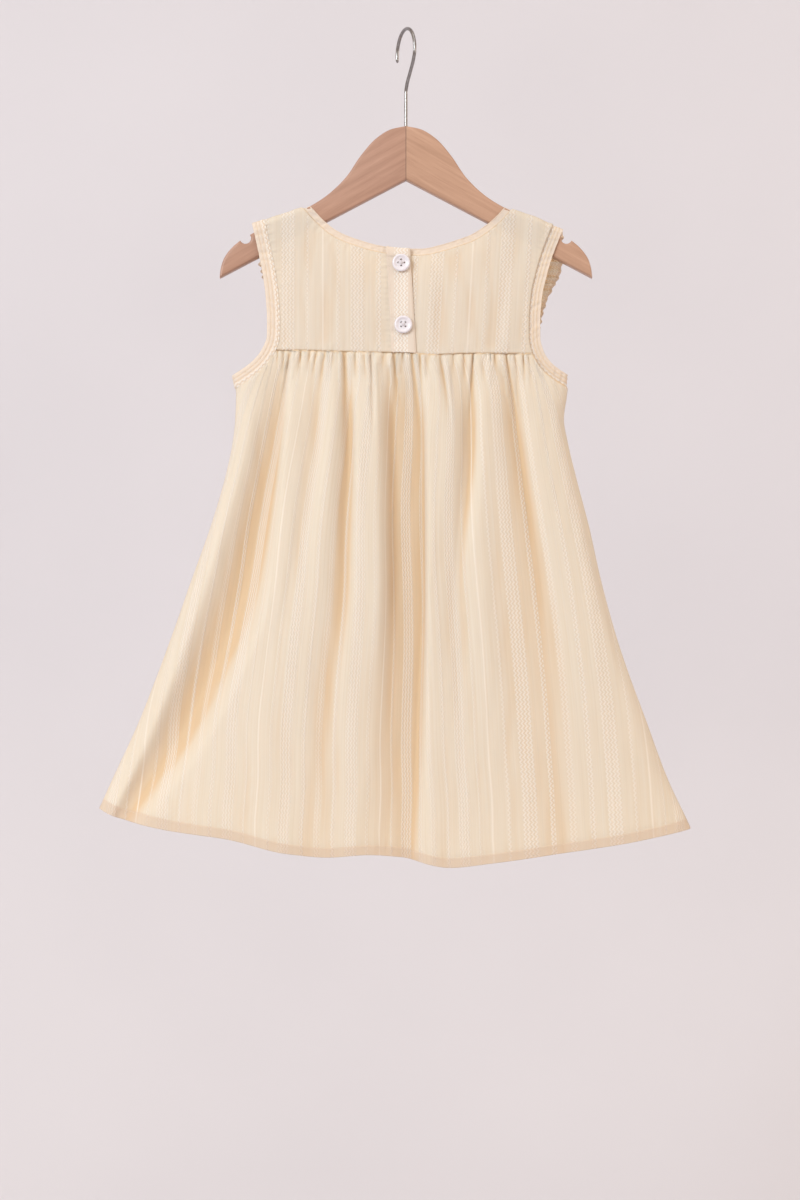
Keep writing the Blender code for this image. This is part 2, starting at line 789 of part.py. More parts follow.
def yoke(name, facing, left, neck, right, lapped=False):
    """A yoke panel: its borders fall from the shoulder or the neck line to the yoke seam."""
    on_left = np.linalg.norm(left[0] - neck[0]) > STEP
    on_right = np.linalg.norm(right[0] - neck[-1]) > STEP
    head = neck
    stations = graded(line_length(neck), on_left, on_right, YOKE_FIRST_STEPS)
    if on_left:
        shoulder = straight(left[0], neck[0])
        head = np.concatenate((shoulder[:-1], head))
        run = line_length(shoulder)
        stations = np.concatenate((np.linspace(0.0, run, SHOULDER_CELLS)[:-1], stations + run))
    if on_right:
        shoulder = straight(neck[-1], right[0])
        head = np.concatenate((head, shoulder[1:]))
        run = line_length(shoulder)
        onward = stations[-1] + np.linspace(0.0, run, SHOULDER_CELLS)[1:]
        stations = np.concatenate((stations, onward))
    foot = seam_line(left[-1, 0], right[-1, 0], SEAM_GAP / 2)
    flat = patch(foot, head, left[::-1], right[::-1], stations / stations[-1], YOKE_ROWS)
    lift = underlap(flat[..., 0], flat[..., 1]) if lapped else 0.0
    cloth(name, on_side(flat, facing, lift), CLOTH)


def band(name, facing, edge, inner, turns_at_start=True, turns_at_end=True, lapped=False):
    """A doubled strip that binds an edge."""
    length = line_length(edge)
    flat = strip(edge, inner, graded(length, turns_at_start, turns_at_end) / length)
    lift = underlap(flat[..., 0], flat[..., 1]) if lapped else 0.0
    cloth(name, on_side(flat, facing, lift), DOUBLE_CLOTH, DEEP_CREAM)


def armhole_pieces(side, facing, name):
    """Binds one armhole, and returns the line on which its band meets the yoke."""
    gap = SEAM_GAP / 2
    band(name, facing, armhole_line(side, facing, 0), armhole_line(side, facing, ARMHOLE_BAND - gap))
    return above_seam(armhole_line(side, facing, ARMHOLE_BAND + gap), gap)


def left_half(points):
    """The part of a line up to the placket's sewn edge."""
    room = sewn_edge(points[:, 1]) - SEAM_GAP / 2 - points[:, 0]
    return cut_line(points, room)


def right_half(points):
    """The part of a line from under the placket, just past its sewn edge, to the right."""
    room = points[:, 0] - sewn_edge(points[:, 1]) - UNDERLAP_START
    return cut_line(points[::-1], room[::-1])[::-1]


def back_pieces():
    """The two yoke halves, the placket and the bands of the back."""
    gap = SEAM_GAP / 2
    edge = neck_line(-1, 0)
    band_inner = neck_line(-1, NECK_BAND - gap)
    panel_head = neck_line(-1, NECK_BAND + gap)
    seam_z = read(YOKE_SEAM, 0.0) + gap

    neck = left_half(panel_head)
    placket_side = straight(neck[-1], (sewn_edge(seam_z) - gap, seam_z))
    border = armhole_pieces("left", -1, "back_armhole_band_left")
    yoke("back_yoke_left", -1, border, neck, placket_side)
    band("back_neck_band_left", -1, left_half(edge), left_half(band_inner), turns_at_end=False)

    neck = right_half(panel_head)
    hidden_side = straight(neck[0], (sewn_edge(seam_z) + UNDERLAP_START, seam_z))
    border = armhole_pieces("right", -1, "back_armhole_band_right")
    yoke("back_yoke_right", -1, hidden_side, neck, border, lapped=True)
    halves = right_half(edge), right_half(band_inner)
    band("back_neck_band_right", -1, *halves, turns_at_start=False, lapped=True)

    head = cut_line(edge, free_edge(edge[:, 1]) - edge[:, 0])
    head = cut_line(head[::-1], (head[:, 0] - sewn_edge(head[:, 1]))[::-1])[::-1]
    foot = seam_line(sewn_edge(seam_z), free_edge(seam_z), gap)
    sides = straight(foot[0], head[0]), straight(foot[-1], head[-1])
    flat = patch(foot, head, *sides, np.linspace(0.0, 1.0, 4), np.linspace(0.0, 1.0, 9))
    cloth("back_placket", on_side(flat, -1), DOUBLE_CLOTH, DEEP_CREAM)


def front_pieces():
    """The one-piece yoke of the front and its bands."""
    gap = SEAM_GAP / 2
    left = armhole_pieces("left", 1, "front_armhole_band_left")
    right = armhole_pieces("right", 1, "front_armhole_band_right")
    yoke("front_yoke", 1, left, neck_line(1, NECK_BAND + gap), right)
    band("front_neck_band", 1, neck_line(1, 0), neck_line(1, NECK_BAND - gap))


def frill(side):
    """A gathered strip that stands out from the front armhole, widest below the shoulder."""
    width, lean = FRILLS[side]
    root_line = above_seam(armhole_line(side, 1, ARMHOLE_BAND), 0.0)
    count = FRILL_WAVES * 4
    shares = np.linspace(*FRILL_RUN, count + 1)
    root = along(root_line, shares)
    lift = DOUBLE_CLOTH + LAP_GAP + FRILL_ROOT_WAVE
    base = on_side(root, 1, lift)
    outward_x = -1.0 if side == "left" else 1.0
    tilt = math.radians(lean)
    out = np.array((outward_x * math.cos(tilt), math.sin(tilt), 0.0))
    square = np.array((-outward_x * math.sin(tilt), math.cos(tilt), 0.0))
    way = (shares - FRILL_RUN[0]) / (FRILL_RUN[1] - FRILL_RUN[0])
    reach = width * read(FRILL_TAPER, way)
    wave = np.sin(2 * math.pi * FRILL_WAVES * way)
    grid = []
    for share in np.linspace(0.0, 1.0, 3):
        size = (FRILL_ROOT_WAVE + (FRILL_EDGE_WAVE - FRILL_ROOT_WAVE) * share) * wave
        grid.append(base + out * (share * reach)[:, None] + square * size[:, None])
    cloth("ruffle_" + side, np.array(grid), CLOTH)


def button(name, x, z, turn):
    """A turned four-hole button that lies on the placket."""
    mesh = bpy.data.meshes.new(name)
    shape = bmesh.new()
    verts = [shape.verts.new((radius * MM, 0.0, height * MM)) for radius, height in BUTTON_PROFILE]
    for pair in zip(verts, verts[1:]):
        shape.edges.new(pair)
    shape.to_mesh(mesh)
    shape.free()
    made = place(name, mesh, BUTTON_WHITE, roughness=0.3)
    turned = made.modifiers.new("turned", "SCREW")
    turned.steps = BUTTON_STEPS
    turned.render_steps = BUTTON_STEPS
    turned.use_merge_vertices = True
    turned.merge_threshold = WELD
    holes = bpy.data.meshes.new(name + "_holes")
    shape = bmesh.new()
    for quarter in range(4):
        angle = math.radians(turn + 90 * quarter)
        spot = Vector((math.cos(angle), math.sin(angle), 0.0)) * BUTTON_HOLE_SPREAD * MM
        bmesh.ops.create_cone(
            shape,
            cap_ends=True,
            segments=BUTTON_HOLE_SIDES,
            radius1=BUTTON_HOLE * MM,
            radius2=BUTTON_HOLE * MM,
            depth=BUTTON_CUT * MM,
            matrix=Matrix.Translation(spot),
        )
    shape.to_mesh(holes)
    shape.free()
    cutter = bpy.data.objects.new(name + "_holes", holes)
    cutter.hide_render = True
    cutter.display_type = "WIRE"
    cutters.objects.link(cutter)
    cut = made.modifiers.new("holes", "BOOLEAN")
    cut.object = cutter
    cut.solver = "EXACT"
    reach = BUTTON_PROFILE[5][0]
    low = half_depth(np.array([x]), np.array([z - reach]))[0]
    high = half_depth(np.array([x]), np.array([z + reach]))[0]
    middle = half_depth(np.array([x]), np.array([z]))[0]
    tilt = math.atan2(low - high, 2 * reach)
    seat = SEAM_GAP / 2 + max(middle, (low + high) / 2) + DOUBLE_CLOTH + BUTTON_SEAT
    for item in (made, cutter):
        item.location = Vector((x, -seat, z)) * MM
        item.rotation_euler.x = math.pi / 2 - tilt


hanger_arm("hanger_arm_left", -1)
hanger_arm("hanger_arm_right", 1)
hanger_hook()
back_pieces()
front_pieces()
skirt("back_skirt", -1, BACK_FOLDS, BACK_GATHERS)
skirt("front_skirt", 1, FRONT_FOLDS, FRONT_GATHERS)
for frill_side in FRILLS:
    frill(frill_side)
for button_row in BUTTONS:
    button(*button_row)
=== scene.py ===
import math
import random

import bmesh
import bpy
import numpy as np
from mathutils import Matrix, Vector


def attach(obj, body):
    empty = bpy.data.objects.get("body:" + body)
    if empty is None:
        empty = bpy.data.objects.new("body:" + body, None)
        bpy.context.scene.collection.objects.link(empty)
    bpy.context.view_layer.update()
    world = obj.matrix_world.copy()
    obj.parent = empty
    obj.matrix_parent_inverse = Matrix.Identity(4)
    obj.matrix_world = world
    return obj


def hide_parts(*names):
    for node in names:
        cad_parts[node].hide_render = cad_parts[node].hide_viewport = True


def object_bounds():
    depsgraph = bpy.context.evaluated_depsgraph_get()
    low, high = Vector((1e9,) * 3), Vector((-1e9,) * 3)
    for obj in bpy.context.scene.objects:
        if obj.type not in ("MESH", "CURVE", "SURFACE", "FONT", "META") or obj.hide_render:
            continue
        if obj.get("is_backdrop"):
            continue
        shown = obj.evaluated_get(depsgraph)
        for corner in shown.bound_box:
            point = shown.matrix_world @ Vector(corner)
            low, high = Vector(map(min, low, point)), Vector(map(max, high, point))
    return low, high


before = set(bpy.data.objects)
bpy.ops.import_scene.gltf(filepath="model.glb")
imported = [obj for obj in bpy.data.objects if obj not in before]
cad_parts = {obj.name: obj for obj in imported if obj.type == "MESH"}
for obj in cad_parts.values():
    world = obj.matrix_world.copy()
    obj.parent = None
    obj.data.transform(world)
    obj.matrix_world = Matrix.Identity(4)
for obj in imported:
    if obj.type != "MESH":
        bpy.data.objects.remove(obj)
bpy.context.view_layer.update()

# ---- Hanger board ----
# Two halves of 12 mm hardwood, sawn to a drooping outline with a strap notch near each tip.
# They are glued end to end in the middle, sanded round along their edges and lacquered satin.
MM = 0.001
BOARD = 12.0
BOARD_EDGE = 1.8
BOARD_TOP = (
    # distance from the middle, z
    (0.0, -80.9), (11.9, -83.4), (24.8, -91.1), (37.6, -105.3), (50.5, -124.0),
    (65.9, -138.8), (79.4, -147.6), (103.5, -159.0), (127.5, -170.3),
)
BOARD_END = (
    # distance from the middle, z
    (144.5, -181.4), (149.8, -187.3), (153.6, -193.8), (155.7, -201.3), (156.5, -208.3),
)
BOARD_FOOT = (0.0, -126.1)
NOTCH_CENTRE = (134.8, -175.1)
NOTCH_RADIUS = 4.7
NOTCH_ARC = (143.0, 336.0)
GRAIN_COLOURS = (
    # place in the grain, colour
    (0.28, (0.375, 0.210, 0.140)), (0.44, (0.430, 0.247, 0.168)),
    (0.56, (0.470, 0.275, 0.190)), (0.72, (0.525, 0.318, 0.224)),
)


def curve(stations, values, at):
    """Monotone cubic curve through values at rising stations; values may have one column a place."""
    stations = np.asarray(stations, dtype=float)
    values = np.asarray(values, dtype=float)
    at = np.clip(np.asarray(at, dtype=float), stations[0], stations[-1])
    if values.ndim == 1:
        values = np.repeat(values[:, None], at.size, axis=1)
    step = np.diff(stations)[:, None]
    slope = np.diff(values, axis=0) / step
    before = 2 * step[1:] + step[:-1]
    after = step[1:] + 2 * step[:-1]
    turns = slope[:-1] * slope[1:] <= 0
    first = np.where(turns, 1.0, slope[:-1])
    second = np.where(turns, 1.0, slope[1:])
    inner = np.where(turns, 0.0, (before + after) / (before / first + after / second))
    tangent = np.concatenate((slope[:1], inner, slope[-1:]))
    places = at.ravel()
    cell = np.clip(np.searchsorted(stations, places, side="right") - 1, 0, len(step) - 1)
    own = np.arange(places.size)
    width = step[cell, 0]
    f = (places - stations[cell]) / width
    rise = 3 * f ** 2 - 2 * f ** 3
    lead = (f ** 3 - 2 * f ** 2 + f) * width * tangent[cell, own]
    trail = (f ** 3 - f ** 2) * width * tangent[cell + 1, own]
    result = values[cell, own] * (1 - rise) + values[cell + 1, own] * rise + lead + trail
    return result.reshape(at.shape)


def along(points, shares):
    """Places on a smooth line through the points, at shares of its length."""
    points = np.asarray(points, dtype=float)
    length = np.concatenate(([0.0], np.cumsum(np.linalg.norm(np.diff(points, axis=0), axis=1))))
    at = np.asarray(shares, dtype=float) * length[-1]
    return np.stack([curve(length, axis, at) for axis in points.T], axis=1)


def mesh_of(data, place):
    """The welded mesh of a curve or of a made object's data, with its place applied."""
    maker = bpy.data.objects.new("maker", data)
    bpy.context.scene.collection.objects.link(maker)
    graph = bpy.context.evaluated_depsgraph_get()
    mesh = bpy.data.meshes.new_from_object(maker.evaluated_get(graph))
    bpy.data.objects.remove(maker)
    shape = bmesh.new()
    shape.from_mesh(mesh)
    bmesh.ops.remove_doubles(shape, verts=shape.verts, dist=0.00001)
    bmesh.ops.transform(shape, matrix=place, verts=shape.verts)
    bmesh.ops.recalc_face_normals(shape, faces=shape.faces)
    shape.to_mesh(mesh)
    shape.free()
    return mesh


def piece(name, mesh, finish, slot, *nodes):
    """Adds a finished mesh to the dress on its hanger, in place of its CAD nodes."""
    made = bpy.data.objects.new(name, mesh)
    mesh.materials.clear()
    mesh.materials.append(finish)
    bpy.context.scene.collection.objects.link(made)
    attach(made, "root")
    if nodes:
        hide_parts(*nodes)
    return made


def new_finish(name):
    """A material with its tree and its shader."""
    made = bpy.data.materials.new(name)
    made.use_nodes = True
    return made, made.node_tree, made.node_tree.nodes["Principled BSDF"]


def finished(tree, shader, base, rough, normal=None, **settings):
    """Links a finish's colour, roughness and relief, and sets what is the same all over it."""
    for name, value in (("Base Color", base), ("Roughness", rough), ("Normal", normal)):
        if isinstance(value, bpy.types.NodeSocket):
            tree.links.new(value, shader.inputs[name])
        elif value is not None:
            shader.inputs[name].default_value = value
    for name, value in settings.items():
        shader.inputs[name.replace("_", " ")].default_value = value


def node(tree, kind, values=(), **settings):
    """Adds a node, sets it, and fills its inputs: a link where the value is a socket."""
    made = tree.nodes.new(kind)
    for key, value in settings.items():
        setattr(made, key, value)
    for key, value in dict(values).items():
        if isinstance(value, bpy.types.NodeSocket):
            tree.links.new(value, made.inputs[key])
        else:
            made.inputs[key].default_value = value
    return made


def maths(tree, operation, first, second=0.0, third=0.0):
    """The result of one Math node."""
    return node(tree, "ShaderNodeMath", {0: first, 1: second, 2: third}, operation=operation).outputs[0]


def noise(tree, place, scale, detail, roughness=0.5, distortion=0.0):
    """The strength of a soft noise at each place."""
    values = {"Vector": place, "Scale": scale, "Detail": detail, "Roughness": roughness}
    values["Distortion"] = distortion
    return node(tree, "ShaderNodeTexNoise", values).outputs["Fac"]


def between(tree, share, low, high):
    """A value that runs from low to high as the share runs from 0 to 1."""
    return node(tree, "ShaderNodeMapRange", {0: share, 3: low, 4: high}).outputs[0]


def relief_of(tree, height, distance, strength=1.0):
    """The normal of a fine relief, its distance in metres."""
    values = {"Strength": strength, "Distance": distance, "Height": height}
    return node(tree, "ShaderNodeBump", values).outputs[0]


def mixed(tree, share, first, second, blend="MIX"):
    """The colour of one Mix node."""
    values = {0: share}
    for socket, value in ((6, first), (7, second)):
        values[socket] = value if isinstance(value, bpy.types.NodeSocket) else (*value, 1.0)
    return node(tree, "ShaderNodeMix", values, data_type="RGBA", blend_type=blend).outputs[2]


def ramp(tree, factor, stops):
    """A colour ramp, its stops given as (place, colour)."""
    made = node(tree, "ShaderNodeValToRGB", {0: factor})
    bar = made.color_ramp.elements
    while len(bar) < len(stops):
        bar.new(1.0)
    for stop, (place, colour) in zip(bar, stops):
        stop.position = place
        stop.color = (*colour, 1.0)
    return made.outputs["Color"]


def board_outline():
    """The right half's outline and its mirror image, as one closed line."""
    arc = np.radians(np.linspace(*NOTCH_ARC, 22))
    notch = np.stack((np.cos(arc), np.sin(arc)), axis=1) * NOTCH_RADIUS + NOTCH_CENTRE
    top = along(BOARD_TOP, np.linspace(0.0, 1.0, 60))
    tip = along(BOARD_END, np.linspace(0.0, 1.0, 18))
    half = np.concatenate((top, notch, tip, [BOARD_FOOT]))
    return np.concatenate((half, half[-2:0:-1] * (-1, 1)))


def wood_finish():
    """Lacquered hardwood: the grain runs down each arm, and the left half is the darker board."""
    made, tree, shader = new_finish("hardwood")
    place = node(tree, "ShaderNodeTexCoord").outputs["Object"]
    parts = node(tree, "ShaderNodeSeparateXYZ", {0: place}).outputs
    sideways = maths(tree, "ABSOLUTE", parts[0])
    mirrored = node(tree, "ShaderNodeCombineXYZ", {0: sideways, 1: parts[1], 2: parts[2]}).outputs[0]
    side = maths(tree, "GREATER_THAN", parts[0], 0.0)
    shift = node(tree, "ShaderNodeCombineXYZ", {0: side, 2: side}).outputs[0]
    own = node(tree, "ShaderNodeVectorMath", {0: mirrored, 1: shift}, operation="ADD").outputs[0]
    droop = {"Vector": own, "Angle": math.radians(-30)}
    arm = node(tree, "ShaderNodeVectorRotate", droop, rotation_type="Y_AXIS").outputs[0]
    long_grain = {"Vector": arm, "Scale": (11.0, 170.0, 210.0)}
    drawn_out = node(tree, "ShaderNodeMapping", long_grain).outputs[0]
    fine = node(tree, "ShaderNodeMapping", {"Vector": drawn_out, "Scale": (2.2, 5.5, 5.5)}).outputs[0]
    pores = noise(tree, fine, 1.6, 3.0, 0.7)
    grain = ramp(tree, noise(tree, drawn_out, 1.0, 4.0, 0.6), GRAIN_COLOURS)
    dark_pores = ramp(tree, pores, ((0.32, (0.80, 0.74, 0.70)), (0.44, (1.0, 1.0, 1.0))))
    grained = mixed(tree, 0.75, grain, dark_pores, "MULTIPLY")
    tone = mixed(tree, side, (0.86, 0.82, 0.82), (1.0, 1.0, 0.97))
    toned = mixed(tree, 1.0, grained, tone, "MULTIPLY")
    joint = maths(tree, "LESS_THAN", sideways, 0.00028)
    coloured = mixed(tree, joint, toned, (0.16, 0.09, 0.06))
    relief = relief_of(tree, pores, 0.0003, 0.25)
    finished(
        tree, shader, coloured, between(tree, pores, 0.52, 0.38), relief,
        Coat_Weight=0.12, Coat_Roughness=0.3,
    )
    return made


outline = board_outline()
sawn = bpy.data.curves.new("hanger_board", "CURVE")
sawn.dimensions = "2D"
sawn.fill_mode = "BOTH"
sawn.extrude = (BOARD / 2 - BOARD_EDGE) * MM
sawn.bevel_depth = BOARD_EDGE * MM
sawn.bevel_resolution = 3
sawn.offset = -BOARD_EDGE * MM
saw_line = sawn.splines.new("POLY")
saw_line.points.add(len(outline) - 1)
saw_line.use_cyclic_u = True
for point, (x, z) in zip(saw_line.points, outline):
    point.co = (x * MM, z * MM, 0.0, 1.0)
board_mesh = mesh_of(sawn, Matrix.Rotation(math.radians(90), 4, "X"))
board_mesh.shade_smooth()
board_mesh.set_sharp_from_angle(angle=math.radians(40))
piece("hanger_board", board_mesh, wood_finish(), "hanger_wood", "hanger_arm_left", "hanger_arm_right")


# ---- Hanger hook ----
# 2.9 mm plated steel wire, bent cold into a shank, an easing bend and a round hook.
# Its shank stands in a hole in the board's top, turned a little out of the board's plane.
HOOK_WIRE = 2.9
HOOK_RADIUS = 19.5
HOOK_TURN = 22.0
HOOK_SHANK = (
    # along the hook's plane, z
    (0.0, -81.6), (0.0, -66.0), (0.0, -52.0), (-2.4, -45.4), (-9.6, -36.3), (-16.4, -27.4),
)
HOOK_ARC = (186.0, -6.0, -8.0)
HOOK_TIP = (19.3, -23.5)


def steel_finish():
    """Bright plated wire with faint drawing marks along it."""
    made, tree, shader = new_finish("plated_wire")
    marks = noise(tree, node(tree, "ShaderNodeTexCoord").outputs["Object"], 420.0, 3.0, 0.6)
    tone = ramp(tree, marks, ((0.3, (0.25, 0.235, 0.23)), (0.7, (0.36, 0.34, 0.335))))
    finished(tree, shader, tone, between(tree, marks, 0.16, 0.34), Metallic=1.0)
    return made


arc = np.radians(np.arange(*HOOK_ARC))
hook_top = -HOOK_RADIUS + HOOK_WIRE / 2
bow = [(HOOK_RADIUS * math.cos(a), hook_top + HOOK_RADIUS * math.sin(a)) for a in arc]
route = along([*HOOK_SHANK, *bow, HOOK_TIP], np.linspace(0.0, 1.0, 150))
wire = bpy.data.curves.new("hanger_hook", "CURVE")
wire.dimensions = "3D"
wire.bevel_depth = HOOK_WIRE / 2 * MM
wire.bevel_resolution = 5
wire.use_fill_caps = True
wire_line = wire.splines.new("POLY")
wire_line.points.add(len(route) - 1)
tip_rounding = (1.0, 0.93, 0.72, 0.38)
for point, (across, z) in zip(wire_line.points, route):
    point.co = (across * MM, 0.0, z * MM, 1.0)
for point, share in zip(wire_line.points[-4:], tip_rounding):
    point.radius = share
hook_mesh = mesh_of(wire, Matrix.Rotation(math.radians(90 + HOOK_TURN), 4, "Z"))
hook_mesh.shade_smooth()
piece("hanger_hook_wire", hook_mesh, steel_finish(), "hook_steel", "hanger_hook")


# ---- Yoke panels ----
# The front yoke is one flat panel. The back is cut in two halves, and the right half runs on
# under the placket. Each panel is sewn flat, so it only draws up a little along its seams.
# All pieces share the lines below, in mm: side edges, shoulders, neck, armholes and seams.
SIDE_EDGES = (
    # z, left x, right x
    (-702, -279.0, 252.0), (-671, -265.0, 239.0), (-628, -245.5, 219.0), (-582, -224.3, 202.0),
    (-540, -207.8, 186.5), (-509, -196.3, 176.2), (-461, -179.4, 163.2), (-418, -164.0, 153.6),
    (-376, -151.5, 142.6), (-347, -145.3, 135.7), (-327, -143.0, 132.3), (-306, -142.3, 135.0),
    (-290, -145.0, 136.7),
)
DEPTH = (
    # z, distance of the middle of each side from the hanging plane
    (-700, 30.0), (-580, 27.0), (-460, 23.0), (-350, 17.0), (-300, 13.5),
    (-272, 11.5), (-200, 8.4), (-145, 7.2),
)
SHOULDERS = {
    # side: (neck x, neck z, tip x, tip z)
    "left": (-81.2, -147.3, -128.9, -163.3),
    "right": (83.5, -148.4, 132.3, -166.7),
}
BACK_NECK = (
    # x, z
    (-75.5, -153.8), (-67.3, -162.2), (-59.8, -168.1), (-49.1, -173.5), (-38.4, -177.2),
    (-27.7, -180.4), (-17.0, -182.5), (0.0, -184.0), (12.6, -184.3), (30.3, -180.8),
    (42.0, -177.2), (53.9, -172.9), (65.7, -165.6), (76.3, -156.6),
)
FRONT_NECK = (
    # x, z
    (-76.8, -156.0), (-70.0, -171.0), (-58.0, -188.0), (-40.0, -202.0), (-20.0, -209.0),
    (0.0, -211.0), (20.0, -209.5), (41.0, -203.0), (60.0, -189.0), (72.5, -172.0),
    (79.3, -157.0),
)
ARMHOLES = {
    "left": (
        # x, z
        (-128.9, -163.3), (-123.6, -187.2), (-120.2, -204.1), (-117.4, -224.4), (-116.2, -245.0),
        (-116.4, -257.5), (-120.3, -268.5), (-128.1, -278.4), (-136.0, -284.6), (-145.0, -290.2),
    ),
    "right": (
        # x, z
        (132.3, -166.7), (123.2, -189.5), (118.1, -206.4), (114.2, -224.4), (112.6, -245.0),
        (112.6, -258.0), (115.4, -270.0), (121.4, -279.2), (129.0, -285.4), (136.7, -289.8),
    ),
}
FRONT_SCOOP = 4.0
YOKE_SEAM = (
    # x, z
    (-150.0, -269.5), (-107.0, -269.8), (-52.0, -271.0), (0.0, -272.0),
    (22.0, -273.6), (50.0, -272.6), (104.0, -272.8), (150.0, -272.8),
)
NECK_BAND = 7.0
ARMHOLE_BAND = 10.5
THIN_CLOTH = 0.36
JOIN = 0.02
SEAM_GAP = 0.15
TUCK = 1.1
BACK = -1
FRONT = 1


def read(table, at, column=1):
    """Smooth reading of one column of a table whose first column rises."""
    return curve([row[0] for row in table], [row[column] for row in table], at)


def ease(f):
    f = np.clip(f, 0.0, 1.0)
    return f * f * (3 - 2 * f)


def half_depth(x, z):
    """Distance of one side's cloth from the hanging plane, without its folds."""
    left, right = read(SIDE_EDGES, z, 1), read(SIDE_EDGES, z, 2)
    across = np.clip(np.abs(2 * x - left - right) / (right - left), 0.0, 1.0)
    lens = (1 - across ** 2.4) ** (1 / 2.4)
    below = np.clip((shoulder_line(x) - z) / 8.0, 0.0, 1.0)
    over_board = (1 - (1 - below) ** 3.5) ** (1 / 3.5)
    return read(DEPTH, z) * lens ** ease((-200.0 - z) / 85.0) * over_board


def shoulder_line(x):
    heights = []
    for neck_x, neck_z, tip_x, tip_z in SHOULDERS.values():
        heights.append(neck_z + (x - neck_x) * (tip_z - neck_z) / (tip_x - neck_x))
    return np.minimum(*heights)


def laid(flat, facing, fold=0.0):
    """Lays (x, z) points on the back or the front, with the folds' height."""
    y = facing * (JOIN + half_depth(flat[..., 0], flat[..., 1]) + fold)
    return np.stack((flat[..., 0], y, flat[..., 1]), axis=-1)


def raised(grid, facing, lift):
    """The grid moved outwards, square to itself."""
    across = np.gradient(grid, axis=1)
    upward = np.gradient(grid, axis=0)
    square = np.cross(across, upward) * -facing
    square /= np.linalg.norm(square, axis=-1)[..., None] + 1e-12
    return grid + square * np.asarray(lift)[..., None]


def shifted(points, distance):
    """The line moved square to itself, to the right of its travel."""
    tangent = np.gradient(points, axis=0)
    tangent /= np.linalg.norm(tangent, axis=1)[:, None]
    return points + np.stack((tangent[:, 1], -tangent[:, 0]), axis=1) * distance


def cut_line(points, room):
    """The line up to the place where the room beside it falls to nothing."""
    cut = int(np.argmax(room <= 0))
    f = room[cut - 1] / (room[cut - 1] - room[cut])
    end = points[cut - 1] + (points[cut] - points[cut - 1]) * f
    return np.concatenate((points[:cut], end[None]))


def from_start(points, room):
    """As cut_line, at the start of the line."""
    return cut_line(points[::-1], room[::-1])[::-1]


def run_out(points, room_beside):
    """The line run straight on at its end, as far as there is room."""
    ahead = points[-1] - points[-3]
    ahead /= np.linalg.norm(ahead)
    longer = np.concatenate((points, points[-1] + ahead * np.arange(0.25, 25.0, 0.25)[:, None]))
    room = room_beside(longer)
    room[:len(points) // 2] = 1.0
    return cut_line(longer, room)


def room_to_shoulder(points):
    return shoulder_line(points[:, 0]) - points[:, 1]


def room_to_side(points):
    left, right = read(SIDE_EDGES, points[:, 1], 1), read(SIDE_EDGES, points[:, 1], 2)
    return np.minimum(points[:, 0] - left, right - points[:, 0])


def armhole_line(side, facing, distance):
    """The armhole's edge, or a line at a distance inside it, from the shoulder to the side."""
    shares = np.linspace(0.0, 1.0, 161)
    edge = along(ARMHOLES[side], shares)
    inward = 1.0 if side == "left" else -1.0
    if facing == FRONT:
        edge[:, 0] += inward * FRONT_SCOOP * np.sin(math.pi * shares)
    if distance == 0:
        return edge
    line = shifted(edge, -inward * distance)
    return run_out(run_out(line, room_to_side)[::-1], room_to_shoulder)[::-1]


def neck_line(facing, distance):
    """The neck's edge, or a line at a distance below it, from left to right."""
    middle = BACK_NECK if facing == BACK else FRONT_NECK
    edge = along((SHOULDERS["left"][:2], *middle, SHOULDERS["right"][:2]), np.linspace(0.0, 1.0, 241))
    if distance == 0:
        return edge
    line = shifted(edge, distance)
    return run_out(run_out(line, room_to_shoulder)[::-1], room_to_shoulder)[::-1]


def seam_line(left_end, right_end, gap):
    x = np.linspace(left_end, right_end, 161)
    return np.stack((x, read(YOKE_SEAM, x) + gap), axis=1)


def above_seam(points, gap):
    """The part of an armhole line from the shoulder down to the yoke seam."""
    return cut_line(points, points[:, 1] - read(YOKE_SEAM, points[:, 0]) - gap)


def below_seam(points, gap):
    """The part of an armhole line from the yoke seam out to the side."""
    return from_start(points, read(YOKE_SEAM, points[:, 0]) - gap - points[:, 1])


def line_length(points):
    return float(np.linalg.norm(np.diff(points, axis=0), axis=1).sum())


def closer_at_ends(count, pull=0.85):
    """Shares of a length that crowd together where the cloth turns over at its ends."""
    t = np.linspace(-1.0, 1.0, count)
    return 0.5 + 0.5 * ((1 - pull) * t + pull * np.sin(np.pi * t / 2))


def patch(foot, head, left, right, columns, rows):
    """Grid of (x, z) points that fills four border lines (a Coons patch)."""
    across = np.asarray(columns)[None, :, None]
    up = np.asarray(rows)[:, None, None]
    foot_line = along(foot, columns)[None]
    head_line = along(head, columns)[None]
    ruled_up = (1 - up) * foot_line + up * head_line
    ruled_across = (1 - across) * along(left, rows)[:, None] + across * along(right, rows)[:, None]
    corners = (
        (1 - across) * (1 - up) * foot_line[:, :1]
        + across * (1 - up) * foot_line[:, -1:]
        + (1 - across) * up * head_line[:, :1]
        + across * up * head_line[:, -1:]
    )
    return ruled_up + ruled_across - corners


def wander(seed, at, length, waves=6):
    """Smooth uneven wave about 1 high, whose crests are about a length apart."""
    draw = random.Random(seed)
    total = 0.0
    for _ in range(waves):
        total = total + np.cos(2 * math.pi * (at * draw.uniform(0.55, 1.5) / length + draw.random()))
    return total / math.sqrt(waves)


def rumple(seed, flat, width, height, waves=9):
    """Uneven bumps about 1 high, about a width across and a height tall."""
    draw = random.Random(seed)
    total = 0.0
    for _ in range(waves):
        across = draw.uniform(0.5, 1.5) / width
        up = draw.uniform(-1.2, 1.2) / height
        total = total + np.cos(2 * math.pi * (flat[..., 0] * across + flat[..., 1] * up + draw.random()))
    return total / math.sqrt(waves)


